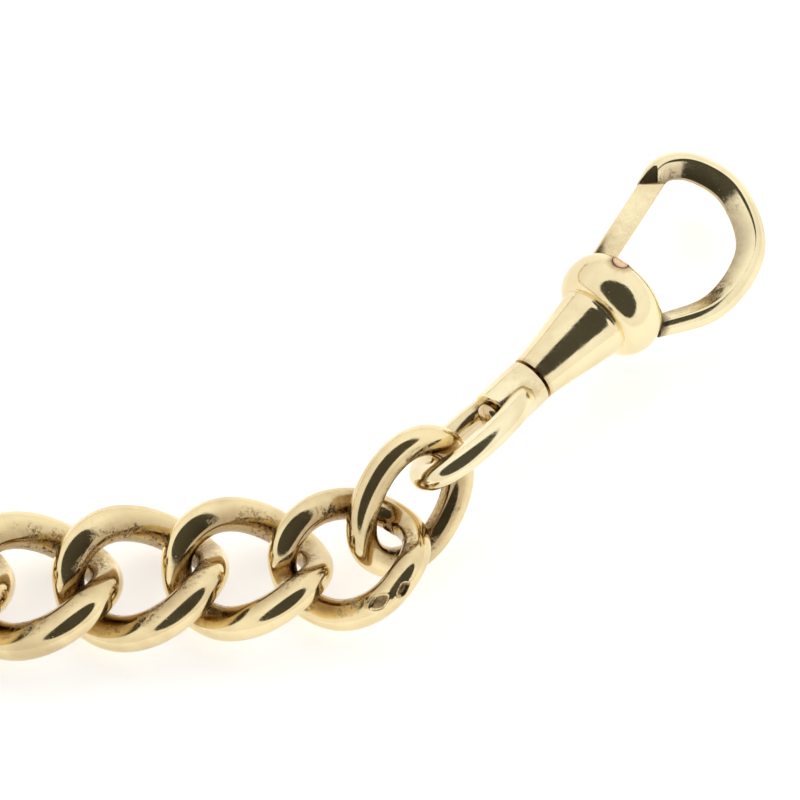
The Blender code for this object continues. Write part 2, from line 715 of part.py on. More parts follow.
def eye_nose():
    """From the bar's axis to the middle of the eye's wire at its far end."""
    return eye_middle() + 0.5 * (TBAR_EYE_LENGTH + TBAR_EYE_WIRE)


def add_tbar_eye(gold, pivot, world, parts, cutters):
    wire = TBAR_EYE_WIRE
    half_length = 0.5 * (TBAR_EYE_LENGTH + wire)
    half_width = 0.5 * (TBAR_EYE_WIDTH + wire)
    points = oval_points(half_length, half_width, JUMP_SQUARENESS, JUMP_POINTS)
    curve = wire_curve("tbar_eye", points, [0.5 * wire] * JUMP_POINTS, closed=True)
    eye_world = world @ Matrix.Translation((eye_middle() * MM, 0.0, 0.0))
    eye = meshed(add_object("tbar_eye", curve, gold, pivot, eye_world, parts))
    radius = TBAR_COLLAR_RADIUS + SEAT_GAP
    profile = rod_profile(radius, TBAR_EYE_WIDTH + 2.0 * (wire + CUTTER_OVERRUN), 0.0)
    mesh = turned_mesh("tbar_eye_seat", profile, closed=False)
    seat_world = world @ Matrix.Rotation(-math.pi / 2, 4, "X")
    seat = add_object("tbar_eye_seat", mesh, None, pivot, seat_world, cutters)
    turn(seat, TBAR_STEPS)
    cut(eye, seat)


# ---------------------------------------------------------------- assembly

def build():
    clear_scene()
    parts = new_collection("pocket_watch_chain")
    cutters = new_collection("cutters")
    gold = new_material("gold", GOLD, 0.18)
    pale = new_material("pale_gold", PALE_GOLD, 0.18)
    rose = new_material("rose_gold", ROSE_GOLD, 0.28)
    steel = new_material("spring_steel", STEEL, 0.35)

    root = bpy.data.objects.new("chain_frame", None)
    parts.objects.link(root)

    clip_world = pose_matrix(CLIP_AT, CLIP_POSE)
    add_clip_body(gold, root, clip_world, parts, cutters)
    add_hook(gold, root, clip_world, parts, cutters)
    add_gate_pin(rose, root, clip_world, parts)
    add_gate_spring(steel, root, clip_world, parts)
    add_swivel_pin(gold, root, clip_world, parts)

    gate_at = clip_world @ Vector((GATE_PIN_X * MM, GATE_PIN_Y * MM, 0.0))
    gate_axis = clip_world.to_3x3() @ Vector((0.0, 0.0, -1.0))
    gate_pivot = joint_empty("joint_gate", root, gate_at, gate_axis, parts)
    add_gate(gold, gate_pivot, clip_world, parts)

    swivel_at = clip_world @ Vector((barrel_front() * MM, 0.0, 0.0))
    swivel_axis = clip_world.to_3x3() @ Vector((1.0, 0.0, 0.0))
    swivel_pivot = joint_empty("joint_swivel", root, swivel_at, swivel_axis, parts)
    add_swivel_barrel(pale, swivel_pivot, clip_world, parts)
    add_swivel_loop(pale, swivel_pivot, clip_world, parts, cutters)

    tail_pivot = add_chain(gold, swivel_pivot, clip_world, parts)
    add_far_end(gold, tail_pivot, parts, cutters)
    stand_on_origin(root, parts)


def add_chain(gold, swivel_pivot, clip_world, parts):
    """The jump link and all the curb links; returns the last curb link's pivot and matrix."""
    loop_world = loop_frame(clip_world)
    loop_tail = (loop_middle() - 0.5 * (LOOP_LENGTH + LOOP_WIRE)) * MM
    loop_nose = loop_world @ Vector((loop_tail, 0.0, 0.0))
    jump_half = 0.5 * (JUMP_LENGTH + JUMP_WIRE)
    turn_matrix = pose_matrix((0.0, 0.0, 0.0), JUMP_POSE)
    distance = wire_distance(JUMP_HANG, LOOP_WIRE, JUMP_WIRE)
    jump_world = hung_matrix(loop_nose, JUMP_HANG[:2], distance, turn_matrix, jump_half)
    jump_nose = jump_world @ Vector((jump_half * MM, 0.0, 0.0))
    axis = loop_world.to_3x3() @ Vector((0.0, 1.0, 0.0))
    pivot = joint_empty("joint_jump_link", swivel_pivot, 0.5 * (loop_nose + jump_nose), axis, parts)
    sizes = (JUMP_LENGTH, JUMP_WIDTH, JUMP_WIRE)
    add_oval_link("jump_link", sizes, JUMP_SQUARENESS, gold, pivot, jump_world, parts)

    jump_tail = jump_world @ Vector((-jump_half * MM, 0.0, 0.0))
    worlds = curb_worlds(jump_tail)
    length, _, nose, _ = curb_sizes(0)
    first_nose = worlds[0] @ Vector((0.5 * (length + nose) * MM, 0.0, 0.0))
    axis = jump_world.to_3x3() @ Vector((0.0, 1.0, 0.0))
    pivot = joint_empty("joint_curb_link_01", pivot, 0.5 * (jump_tail + first_nose), axis, parts)
    for index, world in enumerate(worlds):
        if index > 0:
            bearing = world @ Vector((curb_reach(index) * MM, 0.0, 0.0))
            axis = bearing_axis(index, world)
            pivot = joint_empty(f"joint_curb_link_{index + 1:02d}", pivot, bearing, axis, parts)
        add_curb_link(index, gold, pivot, world, parts)
    return pivot, worlds[-1]


def bearing_axis(index, world):
    """Links bend by turns sideways and up or down, and the sense changes every few links."""
    sense = 1.0 if (index // LINKS_PER_SENSE) % 2 == 0 else -1.0
    local = (0.0, 0.0, sense) if index % 2 == 1 else (0.0, sense, 0.0)
    return world.to_3x3() @ Vector(local)


def add_far_end(gold, last, parts, cutters):
    """The tail link and the T-bar, which rests on its balls however high the tail link ends."""
    pivot, last_world = last
    heading = curb_heading(CURB_COUNT - 1)
    length, _, nose, _ = curb_sizes(CURB_COUNT - 1)
    last_nose = last_world @ Vector((-0.5 * (length + nose) * MM, 0.0, 0.0))
    tail_half = 0.5 * (TAIL_LINK_LENGTH + TAIL_LINK_WIRE)
    turn_angle, tail_pitch, tail_roll = TAIL_LINK_POSE
    turn_matrix = pose_matrix((0.0, 0.0, 0.0), (heading + turn_angle, tail_pitch, tail_roll))
    line = (heading + TAIL_LINK_HANG[0], TAIL_LINK_HANG[1])
    distance = wire_distance(TAIL_LINK_HANG, nose, TAIL_LINK_WIRE)
    tail_world = hung_matrix(last_nose, line, distance, turn_matrix, tail_half)
    tail_nose = tail_world @ Vector((tail_half * MM, 0.0, 0.0))
    axis = tail_world.to_3x3() @ Vector((0.0, 1.0, 0.0))
    pivot = joint_empty("joint_tail_link", pivot, 0.5 * (last_nose + tail_nose), axis, parts)
    sizes = (TAIL_LINK_LENGTH, TAIL_LINK_WIDTH, TAIL_LINK_WIRE)
    add_oval_link("tail_link", sizes, JUMP_SQUARENESS, gold, pivot, tail_world, parts)

    tail_end = tail_world @ Vector((-tail_half * MM, 0.0, 0.0))
    line = (heading + TBAR_HANG[0], TBAR_HANG[1])
    distance = wire_distance(TBAR_HANG, TAIL_LINK_WIRE, TBAR_EYE_WIRE)
    eye_height = tail_end.z / MM + distance * math.sin(math.radians(TBAR_HANG[1]))
    pitch = math.degrees(math.asin((eye_height - TBAR_BALL_RADIUS) / eye_nose()))
    turn_matrix = pose_matrix((0.0, 0.0, 0.0), (heading + TBAR_TURN, pitch, 0.0))
    tbar_world = hung_matrix(tail_end, line, distance, turn_matrix, eye_nose())
    eye_place = tbar_world @ Vector((eye_nose() * MM, 0.0, 0.0))
    axis = tbar_world.to_3x3() @ Vector((0.0, 1.0, 0.0))
    pivot = joint_empty("joint_tbar", pivot, 0.5 * (eye_place + tail_end), axis, parts)
    add_tbar(gold, pivot, tbar_world, parts, cutters)


def stand_on_origin(root, parts):
    """Move the whole model so that the origin is under the middle of its bounding box."""
    bpy.context.view_layer.update()
    depsgraph = bpy.context.evaluated_depsgraph_get()
    low = Vector((math.inf, math.inf, math.inf))
    high = -low
    for obj in parts.objects:
        if obj.type == "EMPTY":
            continue
        shape = obj.evaluated_get(depsgraph)
        mesh = shape.to_mesh()
        for vertex in mesh.vertices:
            place = shape.matrix_world @ vertex.co
            low = Vector(map(min, low, place))
            high = Vector(map(max, high, place))
        shape.to_mesh_clear()
    root.location = (-0.5 * (low.x + high.x), -0.5 * (low.y + high.y), -low.z)
    bpy.context.view_layer.update()


build()
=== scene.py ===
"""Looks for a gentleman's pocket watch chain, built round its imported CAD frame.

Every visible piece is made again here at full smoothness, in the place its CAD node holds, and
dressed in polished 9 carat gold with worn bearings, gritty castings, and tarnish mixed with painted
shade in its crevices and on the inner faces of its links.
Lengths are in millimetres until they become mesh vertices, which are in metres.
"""

from __future__ import annotations

import json
import logging
import math
from dataclasses import dataclass, field, replace
from enum import Enum
from itertools import product
from typing import Callable, Sequence

import bmesh
import bpy
import numpy as np
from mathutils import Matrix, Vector
from mathutils.bvhtree import BVHTree


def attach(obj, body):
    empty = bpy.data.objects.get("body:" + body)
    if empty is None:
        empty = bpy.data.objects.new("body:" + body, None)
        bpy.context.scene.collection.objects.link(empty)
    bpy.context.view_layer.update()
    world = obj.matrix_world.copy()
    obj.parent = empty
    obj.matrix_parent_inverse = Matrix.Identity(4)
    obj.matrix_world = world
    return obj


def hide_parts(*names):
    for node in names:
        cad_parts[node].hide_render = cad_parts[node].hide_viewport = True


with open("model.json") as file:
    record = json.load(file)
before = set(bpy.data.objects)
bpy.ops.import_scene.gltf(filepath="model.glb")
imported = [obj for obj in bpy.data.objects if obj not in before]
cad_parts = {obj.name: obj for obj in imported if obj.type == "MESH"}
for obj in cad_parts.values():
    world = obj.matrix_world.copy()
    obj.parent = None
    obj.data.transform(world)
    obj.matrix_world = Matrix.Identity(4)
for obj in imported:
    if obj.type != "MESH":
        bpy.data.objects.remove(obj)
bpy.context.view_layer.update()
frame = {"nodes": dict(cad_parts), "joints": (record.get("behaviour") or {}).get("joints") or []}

MM = 0.001
PER_MM = 1000.0
LOG = logging.getLogger("watch_chain")
WEAR_REACH = 0.55
# Nearness to other pieces darkens the colour: partly tarnish, partly painted shade.
CONTACT_FALLOFF = 1.4
MARK_TINT = 0.75
STRUCK_DEPTH = 0.10
# The inside attribute these shape tints inner faces darker as painted shade and places grit there.
INSIDE_SHIFT, INSIDE_SPAN = 0.30, 0.8
ROUTE_STEPS = 2400
WHITE = (1.0, 1.0, 1.0, 1.0)

Colour = tuple[float, float, float]
Node = bpy.types.Node
Socket = bpy.types.NodeSocket


# ---------------------------------------------------------------- node groups


class GroupName(Enum):
    """The shared effects, each a shader node group."""

    POLISH = "polish_marks"
    TARNISH_AND_SHADE = "tarnish_and_painted_shade"
    GRIT = "casting_grit"


@dataclass(frozen=True)
class Grain:
    """A noise: its cells for each unit of place, its octaves and how much the finer ones count."""

    scale: float
    detail: float = 3.0
    rough: float = 0.55


WAVE = Grain(0.55, 2.0)
HAIRLINE = Grain(1.3, 4.0, 0.7)
HAIRLINE_TURN, HAIRLINE_STRETCH = (0.5, 0.3, 0.75), (1.0, 14.0, 9.0)
CLOUD = Grain(0.9, 4.0, 0.6)
SPECKLE = Grain(5.5, 3.0, 0.7)
PRICK_SCALE = 1.15
SCRATCH_DEPTH, PRICK_DEPTH, SPECKLE_DEPTH = 0.05, 0.10, 0.012
SCRATCH_DULL, PRICK_DULL, TARNISH_DULL, GRIT_DULL = 0.10, 0.25, 0.25, 0.3
DRIFT = Grain(0.16, 3.0)
RAGGED = Grain(1.7, 5.0, 0.65)
RAGGED_SHARE, RAGGED_MIDDLE, INSIDE_SHADE_SHARE = 0.7, 0.35, 0.45
PATCH = Grain(0.33, 2.0)
PIT = Grain(2.7, 5.0, 0.72)
FIBRE = Grain(60.0, 2.0)
BUMP_REACH = 0.1
HAIRLINE_BAND, PRICK_BAND = (0.58, 0.72, 0.0, 1.0), (0.03, 0.075, 1.0, 0.0)
CLOUD_BAND, SPECKLE_BAND = (0.35, 0.75, 0.75, 1.7), (0.50, 0.72, 0.0, 1.6)
# The second and third bands on this line set where colour darkens near other pieces: partly tarnish, partly
# painted shade.
DRIFT_BAND, WARM_BAND, GRIME_AND_SHADE_BAND = (0.38, 0.72, 0.0, 0.5), (0.02, 0.55, 0.0, 1.0), (0.50, 0.95, 0.0, 1.0)
PATCH_BAND, PIT_BAND, FIBRE_BAND = (0.50, 0.62, 0.0, 1.0), (0.50, 0.62, 0.0, 1.0), (0.3, 0.7, 0.0, 1.0)


@dataclass
class Tree:
    """A node tree with short ways to add nodes and join them."""

    tree: bpy.types.NodeTree

    def add(self, kind: str, **settings: object) -> Node:
        """Add a node and set its own properties.

        Args:
            kind: The node's Blender type, without its leading "ShaderNode".
            **settings: Properties of the node itself.

        Returns:
            The new node.
        """
        name = kind if kind.startswith("Node") else "ShaderNode" + kind
        node = self.tree.nodes.new(name)
        for key, value in settings.items():
            setattr(node, key, value)
        return node

    def feed(self, node: Node, socket: str | int, value: object) -> None:
        """Give an input a constant or a link.

        Args:
            node: The node that has the input.
            socket: The input's name or index.
            value: Another node's output, or a constant.
        """
        target = node.inputs[socket]
        if isinstance(value, bpy.types.NodeSocket):
            self.tree.links.new(value, target)
        else:
            target.default_value = value

    def math(self, operation: str, first: object, second: object = 0.0) -> Socket:
        """Add a math node.

        Args:
            operation: The math node's operation.
            first: Its first value.
            second: Its second value.

        Returns:
            The node's output.
        """
        node = self.add("Math", operation=operation)
        self.feed(node, 0, first)
        self.feed(node, 1, second)
        return node.outputs[0]

    def remap(self, value: object, low: float, high: float, start: object, stop: object) -> Socket:
        """Map low..high smoothly on to start..stop.

        Args:
            value: The value to map.
            low: Where the range starts.
            high: Where the range ends.
            start: What low becomes.
            stop: What high becomes.

        Returns:
            The mapped value.
        """
        node = self.add("MapRange", interpolation_type="SMOOTHSTEP")
        for socket, content in enumerate((value, low, high, start, stop)):
            self.feed(node, socket, content)
        return node.outputs[0]

    def blend(self, share: object, first: object, second: object) -> Socket:
        """Mix two colours.

        Args:
            share: How much of the second colour shows.
            first: The first colour.
            second: The second colour.

        Returns:
            The mixed colour.
        """
        node = self.add("Mix", data_type="RGBA")
        self.feed(node, 0, share)
        self.feed(node, 6, first)
        self.feed(node, 7, second)
        return node.outputs[2]

    def noise(self, place: object, grain: Grain) -> Socket:
        """Add a noise texture.

        Args:
            place: Where the noise is read.
            grain: How fine and how rough it is.

        Returns:
            The noise value, from 0 to 1.
        """
        node = self.add("TexNoise")
        self.feed(node, "Vector", place)
        self.feed(node, "Scale", grain.scale)
        self.feed(node, "Detail", grain.detail)
        self.feed(node, "Roughness", grain.rough)
        return node.outputs[0]


@dataclass
class GroupShelf:
    """Makes each shared node group once and hands it out."""

    made: dict[GroupName, bpy.types.NodeTree] = field(default_factory=dict)

    def get(self, name: GroupName) -> bpy.types.NodeTree:
        """The group of that name, made at its first use.

        Args:
            name: Which effect.

        Returns:
            Its node tree.
        """
        if name not in self.made:
            makers: dict[GroupName, Callable[[], bpy.types.NodeTree]] = {
                GroupName.POLISH: self.polish,
                GroupName.TARNISH_AND_SHADE: self.tarnish_and_shade,
                GroupName.GRIT: self.grit,
            }
            self.made[name] = makers[name]()
        return self.made[name]

    @staticmethod
    def start(
        name: GroupName, inputs: Sequence[tuple[str, str, object]], outputs: Sequence[tuple[str, str]]
    ) -> tuple[Tree, Node, Node]:
        """A new group with its sockets and its input and output nodes.

        Args:
            name: The effect's name.
            inputs: Name, kind and default of each input.
            outputs: Name and kind of each output.

        Returns:
            The tree, its input node and its output node.
        """
        group = bpy.data.node_groups.new(name.value, "ShaderNodeTree")
        for label, kind, default in inputs:
            socket = group.interface.new_socket(name=label, in_out="INPUT", socket_type="NodeSocket" + kind)
            if kind != "Vector":
                socket.default_value = default
        for label, kind in outputs:
            group.interface.new_socket(name=label, in_out="OUTPUT", socket_type="NodeSocket" + kind)
        tree = Tree(group)
        return tree, tree.add("NodeGroupInput"), tree.add("NodeGroupOutput")

    def polish(self) -> bpy.types.NodeTree:
        """Buffing waves, hairline scratches and pin-pricks left in a polished surface."""
        tree, given, made = self.start(
            GroupName.POLISH,
            [
                ("Place", "Vector", None), ("Wave", "Float", 0.3),
                ("Scratch", "Float", 0.3), ("Base", "Float", 0.1),
            ],
            [("Height", "Float"), ("Roughness", "Float")],
        )
        place = given.outputs["Place"]
        wave = tree.noise(place, WAVE)
        skew = tree.add("Mapping")
        tree.feed(skew, "Vector", place)
        tree.feed(skew, "Rotation", HAIRLINE_TURN)
        tree.feed(skew, "Scale", HAIRLINE_STRETCH)
        hairline = tree.noise(skew.outputs[0], HAIRLINE)
        scratches = tree.remap(hairline, *HAIRLINE_BAND)
        pricks = tree.add("TexVoronoi", feature="F1")
        tree.feed(pricks, "Vector", place)
        tree.feed(pricks, "Scale", PRICK_SCALE)
        dots = tree.remap(pricks.outputs[0], *PRICK_BAND)
        height = tree.math("MULTIPLY", wave, given.outputs["Wave"])
        cuts = tree.math("MULTIPLY", scratches, given.outputs["Scratch"])
        height = tree.math("SUBTRACT", height, tree.math("MULTIPLY", cuts, SCRATCH_DEPTH))
        height = tree.math("SUBTRACT", height, tree.math("MULTIPLY", dots, PRICK_DEPTH))
        cloud = tree.remap(tree.noise(place, CLOUD), *CLOUD_BAND)
        speckle = tree.remap(tree.noise(place, SPECKLE), *SPECKLE_BAND)
        rough = tree.math("MULTIPLY", given.outputs["Base"], tree.math("ADD", cloud, speckle))
        height = tree.math("SUBTRACT", height, tree.math("MULTIPLY", speckle, SPECKLE_DEPTH))
        rough = tree.math("ADD", rough, tree.math("MULTIPLY", cuts, SCRATCH_DULL))
        rough = tree.math("ADD", rough, tree.math("MULTIPLY", dots, PRICK_DULL))
        tree.feed(made, "Height", height)
        tree.feed(made, "Roughness", rough)
        return tree.tree

    def tarnish_and_shade(self) -> bpy.types.NodeTree:
        """Warm brown tarnish with painted shade: colour that darkens where pieces bear on each other and on
        inner faces.
        """
        tree, given, made = self.start(
            GroupName.TARNISH_AND_SHADE,
            [
                ("Place", "Vector", None),
                ("Bright", "Color", WHITE),
                ("Warm", "Color", WHITE),
                ("Grime and shade", "Color", WHITE),
                ("Contact", "Float", 0.0),
                ("Inside", "Float", 0.0),
                ("Amount", "Float", 0.5),
            ],
            [("Color", "Color"), ("Mask", "Float")],
        )
        place = given.outputs["Place"]
        drift = tree.remap(tree.noise(place, DRIFT), *DRIFT_BAND)
        tone = tree.blend(drift, given.outputs["Bright"], given.outputs["Warm"])
        # Near other pieces the colour turns warm, then dark: partly tarnish, partly painted shade.
        ragged = tree.math("MULTIPLY", tree.noise(place, RAGGED), RAGGED_SHARE)
        reach = tree.math("ADD", given.outputs["Contact"], tree.math("SUBTRACT", ragged, RAGGED_MIDDLE))
        # Painted shade: faces turned to a ring's middle are tinted towards the warm colour.
        inside_shade = tree.math("MULTIPLY", given.outputs["Inside"], tree.math("ADD", ragged, INSIDE_SHADE_SHARE))
        warm = tree.math("MAXIMUM", tree.remap(reach, *WARM_BAND), inside_shade)
        warm = tree.math("MULTIPLY", warm, given.outputs["Amount"])
        tone = tree.blend(warm, tone, given.outputs["Warm"])
        # Darkest tone closest to other pieces: tarnish mixed with painted shade.
        dark = tree.math("MULTIPLY", tree.remap(reach, *GRIME_AND_SHADE_BAND), given.outputs["Amount"])
        tone = tree.blend(dark, tone, given.outputs["Grime and shade"])
        tree.feed(made, "Color", tone)
        tree.feed(made, "Mask", dark)
        return tree.tree

    def grit(self) -> bpy.types.NodeTree:
        """Small ragged pits in patches, as a casting keeps where no buff reaches."""
        tree, given, made = self.start(
            GroupName.GRIT,
            [("Place", "Vector", None), ("Where", "Float", 0.0), ("Amount", "Float", 0.5)],
            [("Height", "Float"), ("Mask", "Float")],
        )
        place = given.outputs["Place"]
        patch = tree.remap(tree.noise(place, PATCH), *PATCH_BAND)
        cells = tree.noise(place, PIT)
        pits = tree.remap(cells, *PIT_BAND)
        mask = tree.math("MULTIPLY", tree.math("MULTIPLY", patch, given.outputs["Where"]), pits)
        mask = tree.math("MULTIPLY", mask, given.outputs["Amount"])
        tree.feed(made, "Height", tree.math("MULTIPLY", mask, -1.0))
        tree.feed(made, "Mask", mask)
        return tree.tree


# ---------------------------------------------------------------- finishes


@dataclass(frozen=True)
class Finish:
    """One metal with its polish, its tarnish with painted shade between pieces and on inner faces, and its
    casting grit.
    """

    name: str
    slot: str
    bright: Colour
    # The warm and grime colours are also painted shade where pieces meet and on inner faces.
    warm: Colour
    grime_and_shade: Colour
    base_roughness: float = 0.09
    wave: float = 0.25
    scratch: float = 0.35
    tarnish_and_shade: float = 0.75
    grit: float = 0.5
    bump: float = 0.35

    def material(self, shelf: GroupShelf) -> bpy.types.Material:
        """Build the finish as a material.

        Args:
            shelf: Where the shared node groups come from.

        Returns:
            The material.
        """
        material = bpy.data.materials.new(self.name)
        material.use_nodes = True
        material.diffuse_color = (*self.bright, 1.0)
        tree = Tree(material.node_tree)
        shader = material.node_tree.nodes["Principled BSDF"]
        shader.inputs["Metallic"].default_value = 1.0
        coordinates = tree.add("TexCoord")
        scale = tree.add("VectorMath", operation="SCALE")
        tree.feed(scale, 0, coordinates.outputs["Object"])
        tree.feed(scale, "Scale", PER_MM)
        place = scale.outputs[0]
        contact = tree.add("Attribute", attribute_name="contact").outputs["Fac"]
        inside = tree.add("Attribute", attribute_name="inside").outputs["Fac"]

        polish = self.placed(tree, shelf, GroupName.POLISH)
        for label, value in (
            ("Place", place), ("Wave", self.wave), ("Scratch", self.scratch), ("Base", self.base_roughness),
        ):
            tree.feed(polish, label, value)
        # Colour darkened near other pieces and on inner faces: partly tarnish, partly painted shade.
        tarnish_and_shade = self.placed(tree, shelf, GroupName.TARNISH_AND_SHADE)
        for label, value in (
            ("Place", place), ("Contact", contact), ("Inside", inside), ("Amount", self.tarnish_and_shade),
            ("Bright", (*self.bright, 1.0)), ("Warm", (*self.warm, 1.0)), ("Grime and shade", (*self.grime_and_shade, 1.0)),
        ):
            tree.feed(tarnish_and_shade, label, value)
        grit = self.placed(tree, shelf, GroupName.GRIT)
        for label, value in (("Place", place), ("Where", inside), ("Amount", self.grit)):
            tree.feed(grit, label, value)

        colour = tree.blend(grit.outputs["Mask"], tarnish_and_shade.outputs["Color"], (*self.grime_and_shade, 1.0))
        tree.feed(shader, "Base Color", colour)
        dull = tree.math("MULTIPLY", tarnish_and_shade.outputs["Mask"], TARNISH_DULL)
        rough = tree.math("ADD", polish.outputs["Roughness"], dull)
        rough = tree.math("ADD", rough, tree.math("MULTIPLY", grit.outputs["Mask"], GRIT_DULL))
        tree.feed(shader, "Roughness", rough)
        bump = tree.add("Bump")
        tree.feed(bump, "Strength", self.bump)
        tree.feed(bump, "Distance", BUMP_REACH * MM)
        height = tree.math("ADD", polish.outputs["Height"], grit.outputs["Height"])
        tree.feed(bump, "Height", height)
        tree.feed(shader, "Normal", bump.outputs[0])
        return material

    @staticmethod
    def placed(tree: Tree, shelf: GroupShelf, name: GroupName) -> Node:
        """A node that stands for a shared group in this material."""
        node = tree.add("Group")
        node.node_tree = shelf.get(name)
        return node


# Each warm and grime colour here also paints shade between pieces and on inner faces.
YELLOW = Finish(
    "yellow_gold", "gold", (0.87, 0.72, 0.42), (0.36, 0.245, 0.12), (0.10, 0.060, 0.028),
    grit=0.9, tarnish_and_shade=0.95,
)
CLIP_GOLD = Finish(
    "clip_gold", "gold", (0.90, 0.79, 0.50), (0.60, 0.45, 0.25), (0.14, 0.085, 0.040),
    grit=0.35, tarnish_and_shade=0.8, wave=0.5,
)
HOOK_GOLD = Finish(
    "hook_gold", "gold", (0.90, 0.79, 0.50), (0.42, 0.33, 0.21), (0.16, 0.115, 0.075),
    grit=0.5, tarnish_and_shade=1.0, wave=0.5,
)
GATE_GOLD = replace(CLIP_GOLD, name="gate_gold", wave=0.12, grit=0.15, tarnish_and_shade=0.65)
RIVET_GOLD = replace(
    CLIP_GOLD, name="rivet_gold", bright=(0.66, 0.50, 0.28), base_roughness=0.16, tarnish_and_shade=1.0,
)
LOOP_GOLD = Finish(
    "loop_gold", "pale_gold", (0.90, 0.80, 0.53), (0.60, 0.45, 0.24), (0.15, 0.090, 0.040),
    grit=0.3, tarnish_and_shade=0.85,
)
ROSE = Finish(
    "rose_rivet", "rose_gold", (0.78, 0.57, 0.38), (0.64, 0.36, 0.20), (0.12, 0.060, 0.035),
    base_roughness=0.20,
)
STEEL = Finish(
    "spring_leaf", "spring_steel", (0.55, 0.55, 0.56), (0.36, 0.33, 0.30), (0.10, 0.07, 0.05),
    base_roughness=0.3,
)


@dataclass
class Wardrobe:
    """Holds each finish as a material made once."""

    shelf: GroupShelf = field(default_factory=GroupShelf)
    made: dict[str, bpy.types.Material] = field(default_factory=dict)

    def dress(self, obj: bpy.types.Object, finish: Finish) -> None:
        """Give an object a finish, in place of any material it has.

        Args:
            obj: The mesh object.
            finish: Its finish.
        """
        if finish.name not in self.made:
            self.made[finish.name] = finish.material(self.shelf)
        obj.data.materials.clear()
        obj.data.materials.append(self.made[finish.name])


# ---------------------------------------------------------------- places read from the frame


@dataclass(frozen=True)
class Place:
    """A right-handed frame: an origin in millimetres and three unit axes as the rows of a matrix."""

    origin: np.ndarray
    axes: np.ndarray

    def world(self, points: np.ndarray) -> np.ndarray:
        """Points of this frame in the row frame, all in millimetres."""
        return self.origin + points @ self.axes

    def turned(self, axes: np.ndarray, shift: Sequence[float]) -> Place:
        """A frame held in this one.

        Args:
            axes: The new frame's axes in this frame, as rows.
            shift: The new frame's origin in this frame.

        Returns:
            The new frame, told in the row frame.
        """
        return Place(self.world(np.array(shift, float)), np.array(axes, float) @ self.axes)


def node_points(node: str) -> np.ndarray:
    """The distinct vertices of a CAD node, in millimetres."""
    mesh = frame["nodes"][node].data
    points = np.empty(len(mesh.vertices) * 3)
    mesh.vertices.foreach_get("co", points)
    return np.unique(np.round(points.reshape(-1, 3) * PER_MM, 3), axis=0)


def symmetric_place(node: str) -> Place:
    """The frame of a ring that is the same after a half turn about each of its axes.

    Args:
        node: The CAD node, longest along its own X and thinnest along its own Z.

    Returns:
        Its frame.
    """
    points = node_points(node)
    middle = points.mean(0)
    _, vectors = np.linalg.eigh((points - middle).T @ (points - middle))
    x, y = vectors[:, 2], vectors[:, 1]
    return Place(middle, np.array([x, y, np.cross(x, y)]))


def joint_named(name: str) -> dict:
    """A joint of the record by its name."""
    return next(joint for joint in frame["joints"] if joint["name"] == name)


def unit(vector: Sequence[float]) -> np.ndarray:
    """A vector's direction."""
    vector = np.array(vector, float)
    return vector / np.linalg.norm(vector)


# ---------------------------------------------------------------- ways of making a mesh


def mesh_object(
    name: str, points: np.ndarray, faces: Sequence[Sequence[int]], sharp: float = 40.0
) -> bpy.types.Object:
    """A smooth-shaded mesh object whose edges above an angle stay sharp.

    Args:
        name: The object's name.
        points: Vertices in millimetres in the row frame.
        faces: Their polygons.
        sharp: The angle in degrees above which an edge shades sharp.

    Returns:
        The object, linked to the scene.
    """
    mesh = bpy.data.meshes.new(name)
    mesh.from_pydata((points * MM).tolist(), [], [list(face) for face in faces])
    work = bmesh.new()
    work.from_mesh(mesh)
    bmesh.ops.recalc_face_normals(work, faces=work.faces)
    work.to_mesh(mesh)
    work.free()
    shade(mesh, sharp)
    obj = bpy.data.objects.new(name, mesh)
    bpy.context.scene.collection.objects.link(obj)
    return obj


def shade(mesh: bpy.types.Mesh, sharp: float) -> None:
    """Shade a mesh smooth, apart from edges above an angle in degrees."""
    mesh.polygons.foreach_set("use_smooth", [True] * len(mesh.polygons))
    mesh.set_sharp_from_angle(angle=math.radians(sharp))
    mesh.update()


def smoothed(values: np.ndarray, spread: int, closed: bool) -> np.ndarray:
    """Values along a route after a running mean of the given half width, applied three times."""
    for _ in range(3 if spread else 0):
        mode = "wrap" if closed else "edge"
        pad = [(spread, spread)] + [(0, 0)] * (values.ndim - 1)
        padded = np.pad(values, pad, mode=mode)
        total = sum(padded[shift:shift + len(values)] for shift in range(2 * spread + 1))
        values = total / (2 * spread + 1)
    return values


def even_steps(
    points: np.ndarray, extra: np.ndarray, count: int, closed: bool
) -> tuple[np.ndarray, np.ndarray]:
    """Place points evenly by length along a route and carry values with them.

    Args:
        points: A dense route.
        extra: A value at each of its points.
        count: How many points come back.
        closed: Whether the route joins its own start.

    Returns:
        The even points and their values.
    """
    if closed:
        points = np.vstack([points, points[:1]])
        extra = np.append(extra, extra[:1])
    lengths = np.concatenate([[0.0], np.cumsum(np.linalg.norm(np.diff(points, axis=0), axis=1))])
    marks = np.linspace(0.0, lengths[-1], count + 1)[:-1] if closed else np.linspace(0.0, lengths[-1], count)
    even = np.stack([np.interp(marks, lengths, points[:, axis]) for axis in range(3)], axis=1)
    return even, np.interp(marks, lengths, extra)


